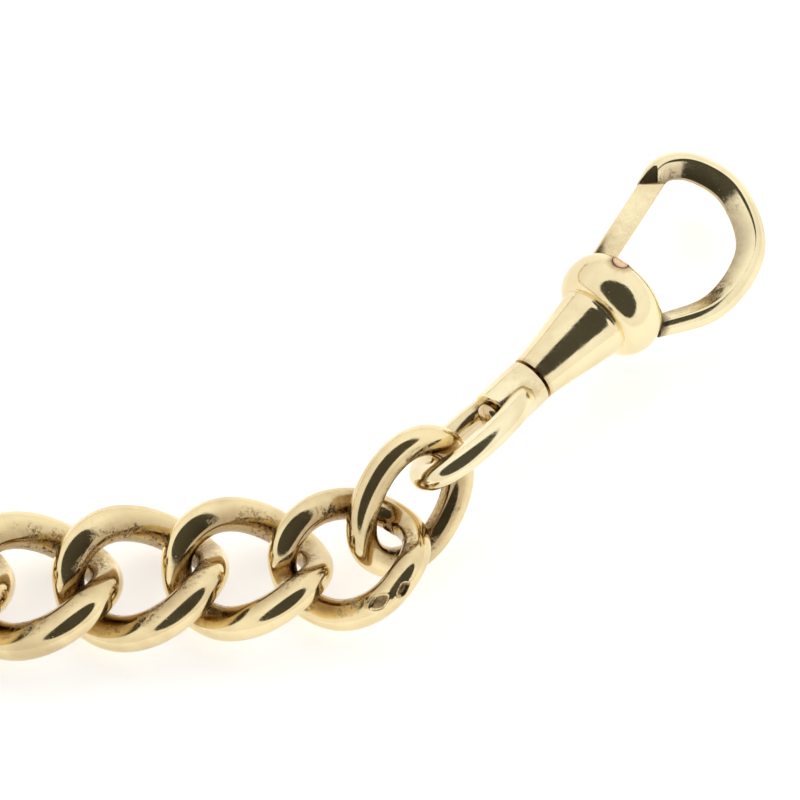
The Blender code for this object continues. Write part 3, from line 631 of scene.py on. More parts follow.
def tube(
    points: np.ndarray, radii: np.ndarray, outward: np.ndarray, section: np.ndarray, closed: bool
) -> tuple[np.ndarray, list[list[int]]]:
    """A wire round a route.

    Args:
        points: The middle of the wire, in millimetres.
        radii: Its radius at each point.
        outward: Which way the section's first corner faces at each point.
        section: The section's corners as (outward, sideways) in shares of the radius.
        closed: Whether the wire joins its own start.

    Returns:
        Vertices, a ring for each point, and faces.
    """
    ahead = np.roll(points, -1, 0) - np.roll(points, 1, 0)
    if not closed:
        ahead[0] = points[1] - points[0]
        ahead[-1] = points[-1] - points[-2]
    ahead /= np.linalg.norm(ahead, axis=1)[:, None]
    out = outward - np.sum(outward * ahead, axis=1)[:, None] * ahead
    out /= np.linalg.norm(out, axis=1)[:, None]
    side = np.cross(ahead, out)
    rings = points[:, None] + radii[:, None, None] * (
        section[None, :, :1] * out[:, None] + section[None, :, 1:] * side[:, None]
    )
    count, sides = len(points), len(section)
    faces = []
    for step in range(count if closed else count - 1):
        following = (step + 1) % count
        for corner in range(sides):
            beside = (corner + 1) % sides
            near, far = step * sides, following * sides
            faces.append([near + corner, near + beside, far + beside, far + corner])
    if not closed:
        faces.append(list(range(sides))[::-1])
        faces.append([(count - 1) * sides + corner for corner in range(sides)])
    return rings.reshape(-1, 3), faces


def round_section(sides: int, filed: float = 0.0) -> np.ndarray:
    """A round section as shares of the radius.

    Args:
        sides: How many corners it has.
        filed: Share of the radius filed off the faces that look sideways.

    Returns:
        The corners as (outward, sideways).
    """
    angles = np.arange(sides) * 2.0 * math.pi / sides
    sideways = np.sin(angles)
    return np.stack([np.cos(angles), sideways * (1.0 - filed * sideways ** 4)], axis=1)


def turned(profile: Sequence[Sequence[float]], steps: int) -> tuple[np.ndarray, list[list[int]]]:
    """A profile turned about X.

    Args:
        profile: Points (radius, x); a closed profile repeats its first point.
        steps: Steps round the axis.

    Returns:
        Vertices and faces.
    """
    ring = profile[:-1] if tuple(profile[0]) == tuple(profile[-1]) else profile
    closed = len(ring) != len(profile)
    angles = np.arange(steps) * 2.0 * math.pi / steps
    points: list[list[float]] = []
    rows: list[list[int]] = []
    for radius, x in ring:
        if radius == 0.0:
            rows.append([len(points)] * steps)
            points.append([x, 0.0, 0.0])
            continue
        rows.append(list(range(len(points), len(points) + steps)))
        points += [[x, radius * math.cos(angle), radius * math.sin(angle)] for angle in angles]
    faces = []
    for first, second in zip(rows, rows[1:] + rows[:1] if closed else rows[1:]):
        for step in range(steps):
            following = (step + 1) % steps
            corners = [first[step], first[following], second[following], second[step]]
            corners = list(dict.fromkeys(corners))
            if len(corners) > 2:
                faces.append(corners)
    return np.array(points), faces


def rounded(profile: Sequence[Sequence[float]], radius: float, steps: int = 5) -> list[tuple[float, float]]:
    """An open profile with each inner corner turned into a small arc.

    Args:
        profile: The profile's points.
        radius: How far each arc reaches along the lines on both sides.
        steps: Points in each arc.

    Returns:
        The rounded profile.
    """
    result = [tuple(profile[0])]
    for before, corner, after in zip(profile, profile[1:], profile[2:]):
        before, corner, after = (np.array(point, float) for point in (before, corner, after))
        back, ahead = before - corner, after - corner
        reach = min(radius, 0.45 * np.linalg.norm(back), 0.45 * np.linalg.norm(ahead))
        start, stop = corner + reach * unit(back), corner + reach * unit(ahead)
        for share in np.linspace(0.0, 1.0, steps):
            point = (1 - share) ** 2 * start + 2 * share * (1 - share) * corner + share ** 2 * stop
            result.append((float(point[0]), float(point[1])))
    result.append(tuple(profile[-1]))
    return result


def settle(obj: bpy.types.Object, sharp: float) -> None:
    """Turn an object's modifiers into its mesh and shade it again."""
    bpy.context.view_layer.update()
    depsgraph = bpy.context.evaluated_depsgraph_get()
    mesh = bpy.data.meshes.new_from_object(obj.evaluated_get(depsgraph))
    obj.modifiers.clear()
    obj.data = mesh
    shade(mesh, sharp)


def cut_away(obj: bpy.types.Object, cutters: Sequence[bpy.types.Object], sharp: float = 35.0) -> None:
    """Take cutters away from an object for good and remove them.

    Args:
        obj: The object to cut.
        cutters: What is taken away.
        sharp: The angle in degrees above which an edge shades sharp afterwards.
    """
    for cutter in cutters:
        boolean(obj, "DIFFERENCE", cutter)
    settle(obj, sharp)
    for cutter in cutters:
        bpy.data.objects.remove(cutter, do_unlink=True)


def block(name: str, place: Place, low: Sequence[float], high: Sequence[float]) -> bpy.types.Object:
    """A block between two corners of a frame, used as a cutter."""
    corners = np.array(list(product(*zip(low, high))), float)
    faces = [(0, 1, 3, 2), (4, 6, 7, 5), (0, 4, 5, 1), (2, 3, 7, 6), (0, 2, 6, 4), (1, 5, 7, 3)]
    return mesh_object(name, place.world(corners), faces)


def cylinder(
    name: str, place: Place, radius: float, reach: tuple[float, float], steps: int
) -> bpy.types.Object:
    """A cylinder about a frame's X, used as a cutter.

    Args:
        name: The object's name.
        place: The frame.
        radius: Its radius.
        reach: Its front and back ends along X.
        steps: Steps round the axis.

    Returns:
        The object.
    """
    front, back = reach
    points, faces = turned([(0.0, front), (radius, front), (radius, back), (0.0, back)], steps)
    return mesh_object(name, place.world(points), faces)


def boolean(obj: bpy.types.Object, operation: str, other: bpy.types.Object) -> None:
    """Give an object an exact boolean modifier."""
    modifier = obj.modifiers.new(operation.lower(), "BOOLEAN")
    modifier.operation = operation
    modifier.solver = "EXACT"
    modifier.object = other


# ---------------------------------------------------------------- the shop that keeps the pieces


@dataclass
class Bench:
    """Takes each finished piece, puts it on its body and remembers what it bears on."""

    wardrobe: Wardrobe = field(default_factory=Wardrobe)
    pieces: dict[str, bpy.types.Object] = field(default_factory=dict)

    def take(self, obj: bpy.types.Object, node: str, body: str, finish: Finish) -> bpy.types.Object:
        """Put a piece in the place of its CAD node.

        Args:
            obj: The piece.
            node: The CAD node it replaces.
            body: The body it rides on.
            finish: Its finish.

        Returns:
            The piece.
        """
        self.wardrobe.dress(obj, finish)
        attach(obj, body)
        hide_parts(node)
        self.pieces[node] = obj
        LOG.info("made %s for %s on %s: %d faces", obj.name, node, body, len(obj.data.polygons))
        return obj

    def weather(self, node: str, neighbours: Sequence[str], reach: float = 1.3, dent: float = 0.0) -> None:
        """Mark how near a piece's surface is to its neighbours, for tarnish and painted shade there, and wear
        it where they bear.

        Args:
            node: The piece's CAD node.
            neighbours: CAD nodes of the pieces beside it.
            reach: Distance in millimetres at which the mark fades out.
            dent: Depth in millimetres of the wear at the nearest points.
        """
        mesh = self.pieces[node].data
        trees = []
        for other in neighbours:
            near = self.pieces[other].data
            places, corners = [v.co for v in near.vertices], [p.vertices for p in near.polygons]
            trees.append(BVHTree.FromPolygons(places, corners))
        gaps = np.full(len(mesh.vertices), reach)
        for index, vertex in enumerate(mesh.vertices):
            for tree in trees:
                found = tree.find_nearest(vertex.co, reach * MM)
                if found[0] is not None:
                    gaps[index] = min(gaps[index], found[3] * PER_MM)
        contact = np.clip(1.0 - gaps / reach, 0.0, 1.0) ** CONTACT_FALLOFF
        struck = mesh.attributes.get("struck")
        if struck is not None:
            marks = np.empty(len(mesh.vertices))
            struck.data.foreach_get("value", marks)
            contact = np.maximum(contact, MARK_TINT * marks)
        # This attribute darkens the colour near neighbours: partly tarnish, partly painted shade.
        write_attribute(mesh, "contact", contact)
        if dent > 0.0:
            bite = dent * np.clip(1.0 - gaps / WEAR_REACH, 0.0, 1.0)
            points = np.empty(len(mesh.vertices) * 3)
            normals = np.empty(len(mesh.vertices) * 3)
            mesh.vertices.foreach_get("co", points)
            mesh.vertex_normals.foreach_get("vector", normals)
            points = points.reshape(-1, 3) - normals.reshape(-1, 3) * bite[:, None] * MM
            mesh.vertices.foreach_set("co", points.ravel())
            mesh.update()


def write_attribute(mesh: bpy.types.Mesh, name: str, values: np.ndarray) -> None:
    """Store one number for each vertex of a mesh."""
    attribute = mesh.attributes.get(name) or mesh.attributes.new(name, "FLOAT", "POINT")
    attribute.data.foreach_set("value", values.astype(np.float32))


# ---------------------------------------------------------------- rings


@dataclass(frozen=True)
class Mark:
    """A plain punched dent with a raised lip: an oval, a lozenge or a square, with no figure in it."""

    along: float
    around: float
    size: tuple[float, float]
    turn: float
    power: float
    depth: float = 0.17
    wall: float = 0.30
    lip: tuple[float, float, float] = (0.28, 1.12, 0.16)

    def push(self, along: np.ndarray, across: np.ndarray) -> np.ndarray:
        """How far the dent moves the surface outward.

        Args:
            along: Distance along the wire from the mark, in millimetres.
            across: Distance round the wire from the mark, in millimetres.

        Returns:
            The outward moves, in millimetres.
        """
        cosine, sine = math.cos(math.radians(self.turn)), math.sin(math.radians(self.turn))
        first = np.abs(along * cosine + across * sine) / (0.5 * self.size[0])
        second = np.abs(across * cosine - along * sine) / (0.5 * self.size[1])
        reach = (first ** self.power + second ** self.power) ** (1.0 / self.power)
        floor = -self.depth * np.clip((1.0 - reach) / self.wall, 0.0, 1.0)
        height, middle, spread = self.lip
        return floor + height * self.depth * np.exp(-((reach - middle) / spread) ** 2)


@dataclass
class Ring:
    """An oval wire link, whose noses may be twisted out of its plane and its sides swelled."""

    length: float
    width: float
    nose: float
    rail: float
    twist: float = 0.0
    squareness: float = 2.15
    swell_power: float = 1.5
    steps: int = 160
    sides: int = 40
    filed: float = 0.08
    ease: float = 0.04
    marks: tuple[Mark, ...] = ()
    struck: np.ndarray | None = None

    def shape(self) -> tuple[np.ndarray, list[list[int]], np.ndarray]:
        """Build the ring in its own frame.

        Returns:
            Vertices, faces, and for each vertex how far it faces the ring's middle.
        """
        half_length = 0.5 * (self.length - self.nose)
        half_width = 0.5 * (self.width - self.rail)
        angles = np.linspace(0.0, 2.0 * math.pi, ROUTE_STEPS, endpoint=False)
        power = 2.0 / self.squareness
        x = half_length * np.sign(np.cos(angles)) * np.abs(np.cos(angles)) ** power
        y = half_width * np.sign(np.sin(angles)) * np.abs(np.sin(angles)) ** power
        turn = -math.radians(self.twist) * x / half_length
        route = np.stack([x, y * np.cos(turn), y * np.sin(turn)], axis=1)
        swell = 0.5 * (self.nose + (self.rail - self.nose) * np.abs(y / half_width) ** self.swell_power)
        points, radii = even_steps(route, swell, self.steps, closed=True)
        points = smoothed(points, 1, closed=True)
        radii = smoothed(radii, 3, closed=True) - self.ease
        section = round_section(self.sides, self.filed)
        vertices, faces = tube(points, radii, points, section, closed=True)
        inward = np.tile(-section[:, 0], self.steps)
        if self.marks:
            self.strike(vertices, np.repeat(points, self.sides, axis=0))
        return vertices, faces, inward

    def strike(self, vertices: np.ndarray, middles: np.ndarray) -> None:
        """Press the punched marks into the wire.

        Args:
            vertices: The ring's vertices, changed in place.
            middles: The middle of the wire beside each vertex.
        """
        steps = np.repeat(np.arange(self.steps), self.sides) / self.steps
        corners = np.tile(np.arange(self.sides), self.steps) / self.sides
        around = math.pi * self.rail
        outward = vertices - middles
        outward /= np.linalg.norm(outward, axis=1)[:, None]
        travel = self.steps * np.linalg.norm(middles[self.sides] - middles[0])
        push = np.zeros(len(vertices))
        for mark in self.marks:
            along = (steps - mark.along + 0.5) % 1.0 - 0.5
            across = (corners - mark.around / 360.0 + 0.5) % 1.0 - 0.5
            push += mark.push(along * travel, across * around)
        vertices += outward * push[:, None]
        self.struck = np.clip(np.abs(push) / STRUCK_DEPTH, 0.0, 1.0)

    def make(self, name: str, place: Place) -> bpy.types.Object:
        """Build the ring in its place.

        Args:
            name: The object's name.
            place: Its frame.

        Returns:
            The object.
        """
        vertices, faces, inward = self.shape()
        obj = mesh_object(name, place.world(vertices), faces, sharp=80.0)
        # Inner faces are tinted darker through this attribute as painted shade, and take grit.
        write_attribute(obj.data, "inside", np.clip((inward + INSIDE_SHIFT) / INSIDE_SPAN, 0.0, 1.0))
        if self.struck is not None:
            write_attribute(obj.data, "struck", self.struck)
        return obj


@dataclass
class CurbChain:
    """The graduated curb links, with struck marks on the first."""

    count: int = 24
    length: tuple[float, float] = (12.5, 14.0)
    width: tuple[float, float] = (11.0, 11.9)
    nose: tuple[float, float] = (2.25, 2.75)
    rail: tuple[float, float] = (2.55, 3.10)
    growth: float = 1.8
    twist: float = 45.0
    squareness: float = 2.3
    bite: float = 0.12
    filed: float = 0.115
    wear_reach: float = 1.9
    fine_links: int = 5
    plain_mesh: tuple[int, int] = (120, 28)
    fine_mesh: tuple[int, int] = (240, 56)
    marked_mesh: tuple[int, int] = (400, 96)
    marks: tuple[Mark, ...] = (
        Mark(0.6825, 71.0, (1.70, 1.10), 10.0, 1.4),
        Mark(0.6325, 34.0, (0.95, 0.75), -20.0, 3.0),
        Mark(0.4025, 180.0, (1.40, 1.00), 40.0, 2.0),
    )

    def graded(self, sizes: tuple[float, float], index: int) -> float:
        """A size of the link at an index, between its smallest and its full value."""
        return sizes[1] - (sizes[1] - sizes[0]) * math.exp(-index / self.growth)

    def build(self, bench: Bench) -> None:
        """Make every curb link.

        Args:
            bench: Where the pieces go.
        """
        for index in range(self.count):
            node = f"curb_link_{index + 1:02d}"
            sizes = [self.graded(size, index) for size in (self.length, self.width, self.nose, self.rail)]
            ring = Ring(*sizes, twist=self.twist, squareness=self.squareness, filed=self.filed)
            ring.steps, ring.sides = self.fine_mesh if index < self.fine_links else self.plain_mesh
            if index == 0:
                ring.steps, ring.sides = self.marked_mesh
                ring.marks = self.marks
            bench.take(ring.make(f"worn_{node}", symmetric_place(node)), node, node, YELLOW)

    def weather(self, bench: Bench) -> None:
        """Wear each link where it bears on the next, and mark it there for tarnish and painted shade."""
        for index in range(self.count):
            before = "jump_link" if index == 0 else f"curb_link_{index:02d}"
            after = "tail_link" if index == self.count - 1 else f"curb_link_{index + 2:02d}"
            bench.weather(f"curb_link_{index + 1:02d}", [before, after], self.wear_reach, self.bite)


# ---------------------------------------------------------------- the clip


@dataclass
class Clip:
    """The dog clip: a cone with a domed collar, the hook's bow, the gate and its rivet."""

    cone_length: float = 7.2
    tail_radius: float = 1.90
    neck_radius: float = 3.05
    swell: float = 1.15
    collar_radius: float = 4.35
    collar_half: float = 2.0
    front_length: float = 0.35
    front_radius: float = 2.6
    pin: tuple[float, float] = (1.4, 1.5)
    pin_radius: float = 0.45
    peened_radius: float = 0.62
    slot_half: float = 1.0
    pocket_roof: float = 3.2
    gate_foot: tuple[float, float] = (2.5, 3.1)
    gate_meeting: tuple[float, float] = (9.7, 4.70)
    gate_bevel: float = 50.0
    gate_gap: float = 0.20
    gate_width: float = 1.8
    gate_thickness: float = 1.6
    route: tuple[tuple[float, float], ...] = (
        (1.1, -3.45), (6.2, -5.5), (11.6, -4.3), (14.0, -0.3), (13.4, 3.2), (11.5, 4.9), (9.0, 4.55),
    )
    tip_slope: float = 22.0
    tip_facet: float = 1.35
    facet_low: float = -0.45
    facet_rise: float = 0.95
    root_radius: float = 0.95
    bow_radius: float = 1.35
    neck_bead: tuple[tuple[float, float], ...] = ((0.10, -0.05), (0.02, -0.17), (0.10, -0.30))
    edge: float = 0.08
    bore: tuple[float, float] = (0.8, 2.65)
    slot_side: float = 4.9
    overcut: float = 0.5
    pocket_floor: tuple[float, float] = (-0.5, 0.15)
    clearance: float = 0.2
    seam: float = 0.05
    taper: float = 0.25
    rivet_run: tuple[float, float] = (1.0, 0.7)
    drill_run: tuple[float, float] = (1.2, 0.75)
    rivet_proud: float = 0.03
    heel_radius: float = 1.15
    heel_tail: tuple[float, float] = (-1.5, 0.45)
    heel_bore: float = 0.53
    foot_trim: float = 0.65
    gate_softening: float = 0.34
    bow_middle: tuple[float, float, float] = (8.5, -0.3, 0.0)
    bow_swell: float = 0.8
    seat_depth: float = 0.1
    flat_start: float = 82.0
    ridge: tuple[float, float] = (-0.80, 0.14)
    ridge_share: float = 0.985
    inside_gain: float = 1.6

    def place(self) -> Place:
        """The clip's frame: X forward along its axis, Y towards the gate."""
        gate, swivel = joint_named("gate_hinge"), joint_named("swivel_turn")
        x = unit(swivel["axis"])
        z = -unit(gate["axis"])
        z = unit(z - np.dot(z, x) * x)
        y = np.cross(z, x)
        origin = np.array(gate["pos_m"]) * PER_MM - self.pin[0] * x - self.pin[1] * y
        return Place(origin, np.array([x, y, z]))

    def build(self, bench: Bench) -> None:
        """Make the clip's pieces.

        Args:
            bench: Where the pieces go.
        """
        place = self.place()
        bench.take(self.body(place), "clip_body", "clip", CLIP_GOLD)
        bench.take(self.hook(place), "hook", "clip", HOOK_GOLD)
        bench.take(self.gate(place), "gate", "gate", GATE_GOLD)
        bench.take(self.rivet(place), "gate_pin", "clip", ROSE)

    def collar(self, count: int = 25) -> list[tuple[float, float]]:
        """The collar's dome from its front rim back to the neck, as (radius, x)."""
        bulge = self.collar_radius - self.neck_radius
        return [
            (self.neck_radius + bulge * math.sin(angle), self.collar_half * math.cos(angle))
            for angle in np.linspace(0.0, math.pi, count)
        ]

    def body(self, place: Place) -> bpy.types.Object:
        """The cone and collar with the gate's slot and the rivet's hole cut in."""
        front = self.collar_half + self.front_length
        tail = -(self.collar_half + self.cone_length)
        profile = [(0.0, front), (self.front_radius, front)] + self.collar()
        profile += [(self.neck_radius - groove, x - self.collar_half) for groove, x in self.neck_bead]
        for share in np.linspace(1.0, 0.0, 25)[2:]:
            radius = self.tail_radius + (self.neck_radius - self.tail_radius) * share ** self.swell
            profile.append((radius, -self.collar_half - self.cone_length * (1.0 - share)))
        bore, depth = self.bore
        profile = rounded(profile, self.edge, 4)
        profile += [(bore, tail), (bore, tail + depth), (0.0, tail + depth)]
        points, faces = turned(profile, 128)
        body = mesh_object("clip_cone_and_collar", place.world(points), faces)
        side = self.slot_half
        roof, ahead = self.pocket_roof, front + self.overcut
        pocket = block("pocket", place, (*self.pocket_floor, -side), (ahead, roof, side))
        mouth_back = self.edges()[1][0] - self.clearance
        mouth = block("mouth", place, (mouth_back, roof - self.overcut, -side), (ahead, self.slot_side, side))
        drilled = self.drilled(place)
        cut_away(body, [pocket, mouth, drilled])
        return body

    def drilled(self, place: Place) -> bpy.types.Object:
        """The rivet's hole, opened out at both ends with a thin open seam round the peened head."""
        end = self.pin_end()
        wide, narrow = self.peened_radius + self.seam, self.pin_radius + self.seam
        stop, start = end + self.drill_run[0], end - self.drill_run[1]
        half = [(0.0, stop), (wide, stop), (wide, start), (narrow, start - self.taper)]
        points, faces = turned(half + [(radius, -x) for radius, x in reversed(half)], 48)
        return mesh_object("drilled", self.pin_place(place).world(points), faces)

    def pin_end(self) -> float:
        """Half the rivet's length, flush with the collar."""
        rise = math.sqrt(1.0 - (self.pin[0] / self.collar_half) ** 2)
        radius = self.neck_radius + (self.collar_radius - self.neck_radius) * rise
        return math.sqrt(radius ** 2 - self.pin[1] ** 2)

    def pin_place(self, place: Place) -> Place:
        """The rivet's frame, with its X along the gate's axis."""
        return place.turned([(0, 0, 1), (0, 1, 0), (-1, 0, 0)], (*self.pin, 0.0))

    def rivet(self, place: Place) -> bpy.types.Object:
        """The gate's rivet, its peened ends filed flush with the collar's dome."""
        end = self.pin_end()
        wide, stop, start = self.peened_radius, end + self.rivet_run[0], end - self.rivet_run[1]
        half = [(0.0, stop), (wide, stop), (wide, start), (self.pin_radius, start - self.taper)]
        points, faces = turned(half + [(radius, -x) for radius, x in reversed(half)], 48)
        rivet = mesh_object("peened_gate_rivet", self.pin_place(place).world(points), faces)
        dome = [(radius + self.rivet_proud, x) for radius, x in self.collar(49)]
        points, faces = turned([(0.0, self.collar_half), *dome, (0.0, -self.collar_half)], 160)
        common = mesh_object("dome", place.world(points), faces)
        boolean(rivet, "INTERSECT", common)
        settle(rivet, 30.0)
        bpy.data.objects.remove(common, do_unlink=True)
        return rivet

    def edges(self) -> list[np.ndarray]:
        """Corners of the gate's bar: tip and foot outside, foot and tip inside."""
        foot, meeting = np.array(self.gate_foot), np.array(self.gate_meeting)
        along = unit(meeting - foot)
        across = np.array([-along[1], along[0]]) * 0.5 * self.gate_width
        bevel = np.array(self.bevel_axes()[0][:2])
        face = meeting - bevel * 0.5 * self.gate_gap
        sides = (foot + across, foot - across)
        tips = [side + along * np.dot(face - side, bevel) / np.dot(along, bevel) for side in sides]
        return [tips[0], foot + across - along * self.foot_trim, foot - across, tips[1]]

    def heel(self, angles: Sequence[float]) -> list[np.ndarray]:
        """Points round the gate's bored heel, at angles in degrees."""
        return [
            np.array(self.pin) + self.heel_radius * np.array([math.cos(angle), math.sin(angle)])
            for angle in np.radians(angles)
        ]

    def gate(self, place: Place) -> bpy.types.Object:
        """The flat-sided tongue with its bored heel, its long edges softened."""
        tip_out, foot_out, foot_in, tip_in = self.edges()
        pin, tail = np.array(self.pin), np.array(self.heel_tail)
        shoulder = np.array([foot_out[0], self.pocket_roof - self.clearance])
        outline = [tip_out, foot_out, shoulder, *self.heel([125, 141, 157])]
        outline += [pin + tail, pin + tail * [1.0, -1.0], *self.heel(np.linspace(203, 350, 16))]
        outline = np.array([*outline, foot_in, tip_in])
        half = 0.5 * self.gate_thickness
        count = len(outline)
        points = np.vstack([np.c_[outline, np.full(count, side)] for side in (-half, half)])
        faces = [list(range(count))[::-1], [count + index for index in range(count)]]
        faces += [[i, (i + 1) % count, count + (i + 1) % count, count + i] for i in range(count)]
        gate = mesh_object("flat_gate", place.world(points), faces, sharp=20.0)
        through = (2.0 * self.slot_half, -2.0 * self.slot_half)
        cut_away(gate, [cylinder("bore", self.pin_place(place), self.heel_bore, through, 40)])
        bevel = gate.modifiers.new("softened", "BEVEL")
        bevel.width = self.gate_softening * MM
        bevel.segments = 4
        bevel.limit_method = "ANGLE"
        bevel.angle_limit = math.radians(40.0)
        settle(gate, 30.0)
        return gate

    def hook(self, place: Place) -> bpy.types.Object:
        """The bow: round outside, with a broad flat inside that comes to a blunt edge."""
        route = np.array(self.route)
        knots = np.array([2.0 * route[0] - route[1], *route, 2.0 * route[-1] - route[-2]])
        spans = len(self.route) - 1
        dense = []
        for mark in np.linspace(0.0, spans, 1200):
            span = min(int(mark), spans - 1)
            t = mark - span
            a, b, c, d = knots[span:span + 4]
            dense.append(0.5 * (2 * b + (c - a) * t + (2 * a - 5 * b + 4 * c - d) * t ** 2
                                + (3 * b - a - 3 * c + d) * t ** 3))
        dense = np.c_[np.array(dense), np.zeros(len(dense))]
        shares = np.linspace(0.0, 1.0, len(dense))
        bulge = np.sin(math.pi * shares) ** self.bow_swell
        swell = self.root_radius + (self.bow_radius - self.root_radius) * bulge
        points, radii = even_steps(dense, swell, 220, closed=False)
        points = smoothed(points, 3, closed=False)
        section = self.bow_section(64)
        vertices, faces = tube(points, radii, points - np.array(self.bow_middle), section, closed=False)
        hook = mesh_object("hook_bow", place.world(vertices), faces, sharp=42.0)
        # The flat inside is tinted darker through this attribute as painted shade, and takes grit.
        inward = np.tile(np.clip(-section[:, 0] * self.inside_gain, 0.0, 1.0), len(points))
        write_attribute(hook.data, "inside", inward)
        meeting = place.turned(self.bevel_axes(), (*self.gate_meeting, 0.0))
        size = 2.0 * self.gate_width
        end_cut = block("end_cut", meeting, (-size, -size, -size), (0.5 * self.gate_gap, size, size))
        depth = self.seat_depth
        front = self.collar_half + self.front_length - depth
        dome = [(radius - depth, x) for radius, x in self.collar()]
        rim = self.front_radius - depth
        seat, seat_faces = turned([(0.0, front), (rim, front), *dome, (0.0, -self.collar_half)], 96)
        seat_cut = mesh_object("seat_cut", place.world(seat), seat_faces)
        slope = math.radians(self.tip_slope)
        cosine, sine = math.cos(slope), math.sin(slope)
        facet_axes = [(cosine, 0.0, sine), (0.0, 1.0, 0.0), (-sine, 0.0, cosine)]
        facet = meeting.turned(facet_axes, (self.tip_facet, 0.0, self.facet_rise * self.root_radius))
        facet_cut = block("facet_cut", facet, (-size, self.facet_low, 0.0), (0.0, size, size))
        cut_away(hook, [end_cut, seat_cut, facet_cut], sharp=38.0)
        return hook

    def bevel_axes(self) -> list[tuple[float, float, float]]:
        """Axes of the face where gate and hook meet, X across it from the gate."""
        angle = math.radians(self.gate_bevel)
        cosine, sine = math.cos(angle), math.sin(angle)
        return [(cosine, sine, 0.0), (-sine, cosine, 0.0), (0.0, 0.0, 1.0)]

    def bow_section(self, sides: int) -> np.ndarray:
        """The bow's section: round outside, two flats inside that meet in a blunt ridge."""
        corners = []
        edge = math.radians(self.flat_start)
        start = np.array([math.cos(edge), math.sin(edge)])
        ridge = np.array(self.ridge)
        for angle in np.arange(sides) * 2.0 * math.pi / sides:
            corner = np.array([math.cos(angle), math.sin(angle)])
            flipped = corner * [1.0, math.copysign(1.0, corner[1])]
            if flipped[0] < start[0]:
                share = min(1.0, (start[0] - flipped[0]) / (start[0] + 1.0))
                flat = start + (ridge - start) * share
                flat[1] = min(flat[1], math.sqrt(max(0.0, 1.0 - flat[0] ** 2)))
                if share > self.ridge_share:
                    flat[1] = flipped[1]
                corner = flat * [1.0, math.copysign(1.0, corner[1])]
            corners.append(corner)
        return np.array(corners)

    def weather(self, bench: Bench) -> None:
        """Mark where the clip's pieces meet."""
        bench.weather("clip_body", ["hook", "gate", "gate_pin", "swivel_barrel"], reach=0.8)
        bench.weather("hook", ["clip_body", "gate"], reach=0.9)
        bench.weather("gate", ["clip_body", "hook"], reach=0.6)
        bench.weather("gate_pin", ["clip_body"], reach=0.35)


# ---------------------------------------------------------------- the swivel


SOLDER = Mark(0.0636, 30.0, (1.05, 0.70), 0.0, 2.0, 0.05)


@dataclass
class Swivel:
    """The barrel behind the cone, the headed rivet it turns on and the loop soldered astride it."""

    gap: float = 0.25
    barrel_length: float = 4.0
    barrel_radius: float = 1.95
    bore: float = 0.83
    rivet_radius: float = 0.75
    seat_length: float = 2.6
    head_radius: float = 1.20
    head_rim: float = 0.15
    head_height: float = 0.70
    setback: float = 0.45
    edge: float = 0.12
    seat_depth: float = 0.1
    seat_reach: tuple[float, float] = (0.9, -0.02)
    loop: Ring = field(
        default_factory=lambda: Ring(12.2, 8.4, 2.2, 2.2, steps=260, sides=72, marks=(SOLDER,))
    )

    def place(self) -> Place:
        """The swivel's frame: origin in the barrel's front face, X forward along the clip."""
        turn, link = joint_named("swivel_turn"), joint_named("jump_link_hinge")
        x = unit(turn["axis"])
        y = unit(link["axis"])
        y = unit(y - np.dot(y, x) * x)
        return Place(np.array(turn["pos_m"]) * PER_MM, np.array([x, y, np.cross(x, y)]))

    def build(self, bench: Bench) -> None:
        """Make the swivel's pieces.

        Args:
            bench: Where the pieces go.
        """
        place = self.place()
        radius, back = self.barrel_radius, -self.barrel_length
        outer = rounded([(self.bore, 0.0), (radius, 0.0), (radius, back), (self.bore, back)], self.edge)
        points, faces = turned(outer + [outer[0]], 96)
        barrel = mesh_object("turned_barrel", place.world(points), faces)
        bench.take(barrel, "swivel_barrel", "swivel", LOOP_GOLD)

        middle = -self.setback - 0.5 * self.loop.length
        vertices, faces, inward = self.loop.shape()
        loop = mesh_object("soldered_loop", place.world(vertices + [middle, 0.0, 0.0]), faces)
        # Inner faces are tinted darker through this attribute as painted shade, and take grit.
        write_attribute(loop.data, "inside", np.clip(inward, 0.0, 1.0))
        write_attribute(loop.data, "struck", self.loop.struck)
        ends = (self.seat_reach[0], back + self.seat_reach[1])
        cut_away(loop, [cylinder("seat", place, radius - self.seat_depth, ends, 96)])
        bench.take(loop, "swivel_loop", "swivel", LOOP_GOLD)

        face = back - self.gap
        rim = face - self.head_rim
        dome = [
            (self.head_radius * math.cos(angle), rim - self.head_height * math.sin(angle))
            for angle in np.linspace(0.0, 0.5 * math.pi, 12)
        ]
        dome[-1] = (0.0, dome[-1][1])
        start, wire = self.gap + self.seat_length, self.rivet_radius
        shank = [(0.0, start), (wire, start), (wire, face), (self.head_radius, face)]
        points, faces = turned(shank + dome, 72)
        rivet = mesh_object("domed_swivel_rivet", place.world(points), faces)
        bench.take(rivet, "swivel_pin", "clip", RIVET_GOLD)

    def weather(self, bench: Bench) -> None:
        """Mark where the swivel's pieces meet and bear."""
        bench.weather("swivel_barrel", ["clip_body", "swivel_loop", "swivel_pin"], reach=0.5)
        bench.weather("swivel_pin", ["swivel_barrel", "swivel_loop"], reach=0.7)
        bench.weather("swivel_loop", ["swivel_barrel", "jump_link"], reach=1.0, dent=0.06)


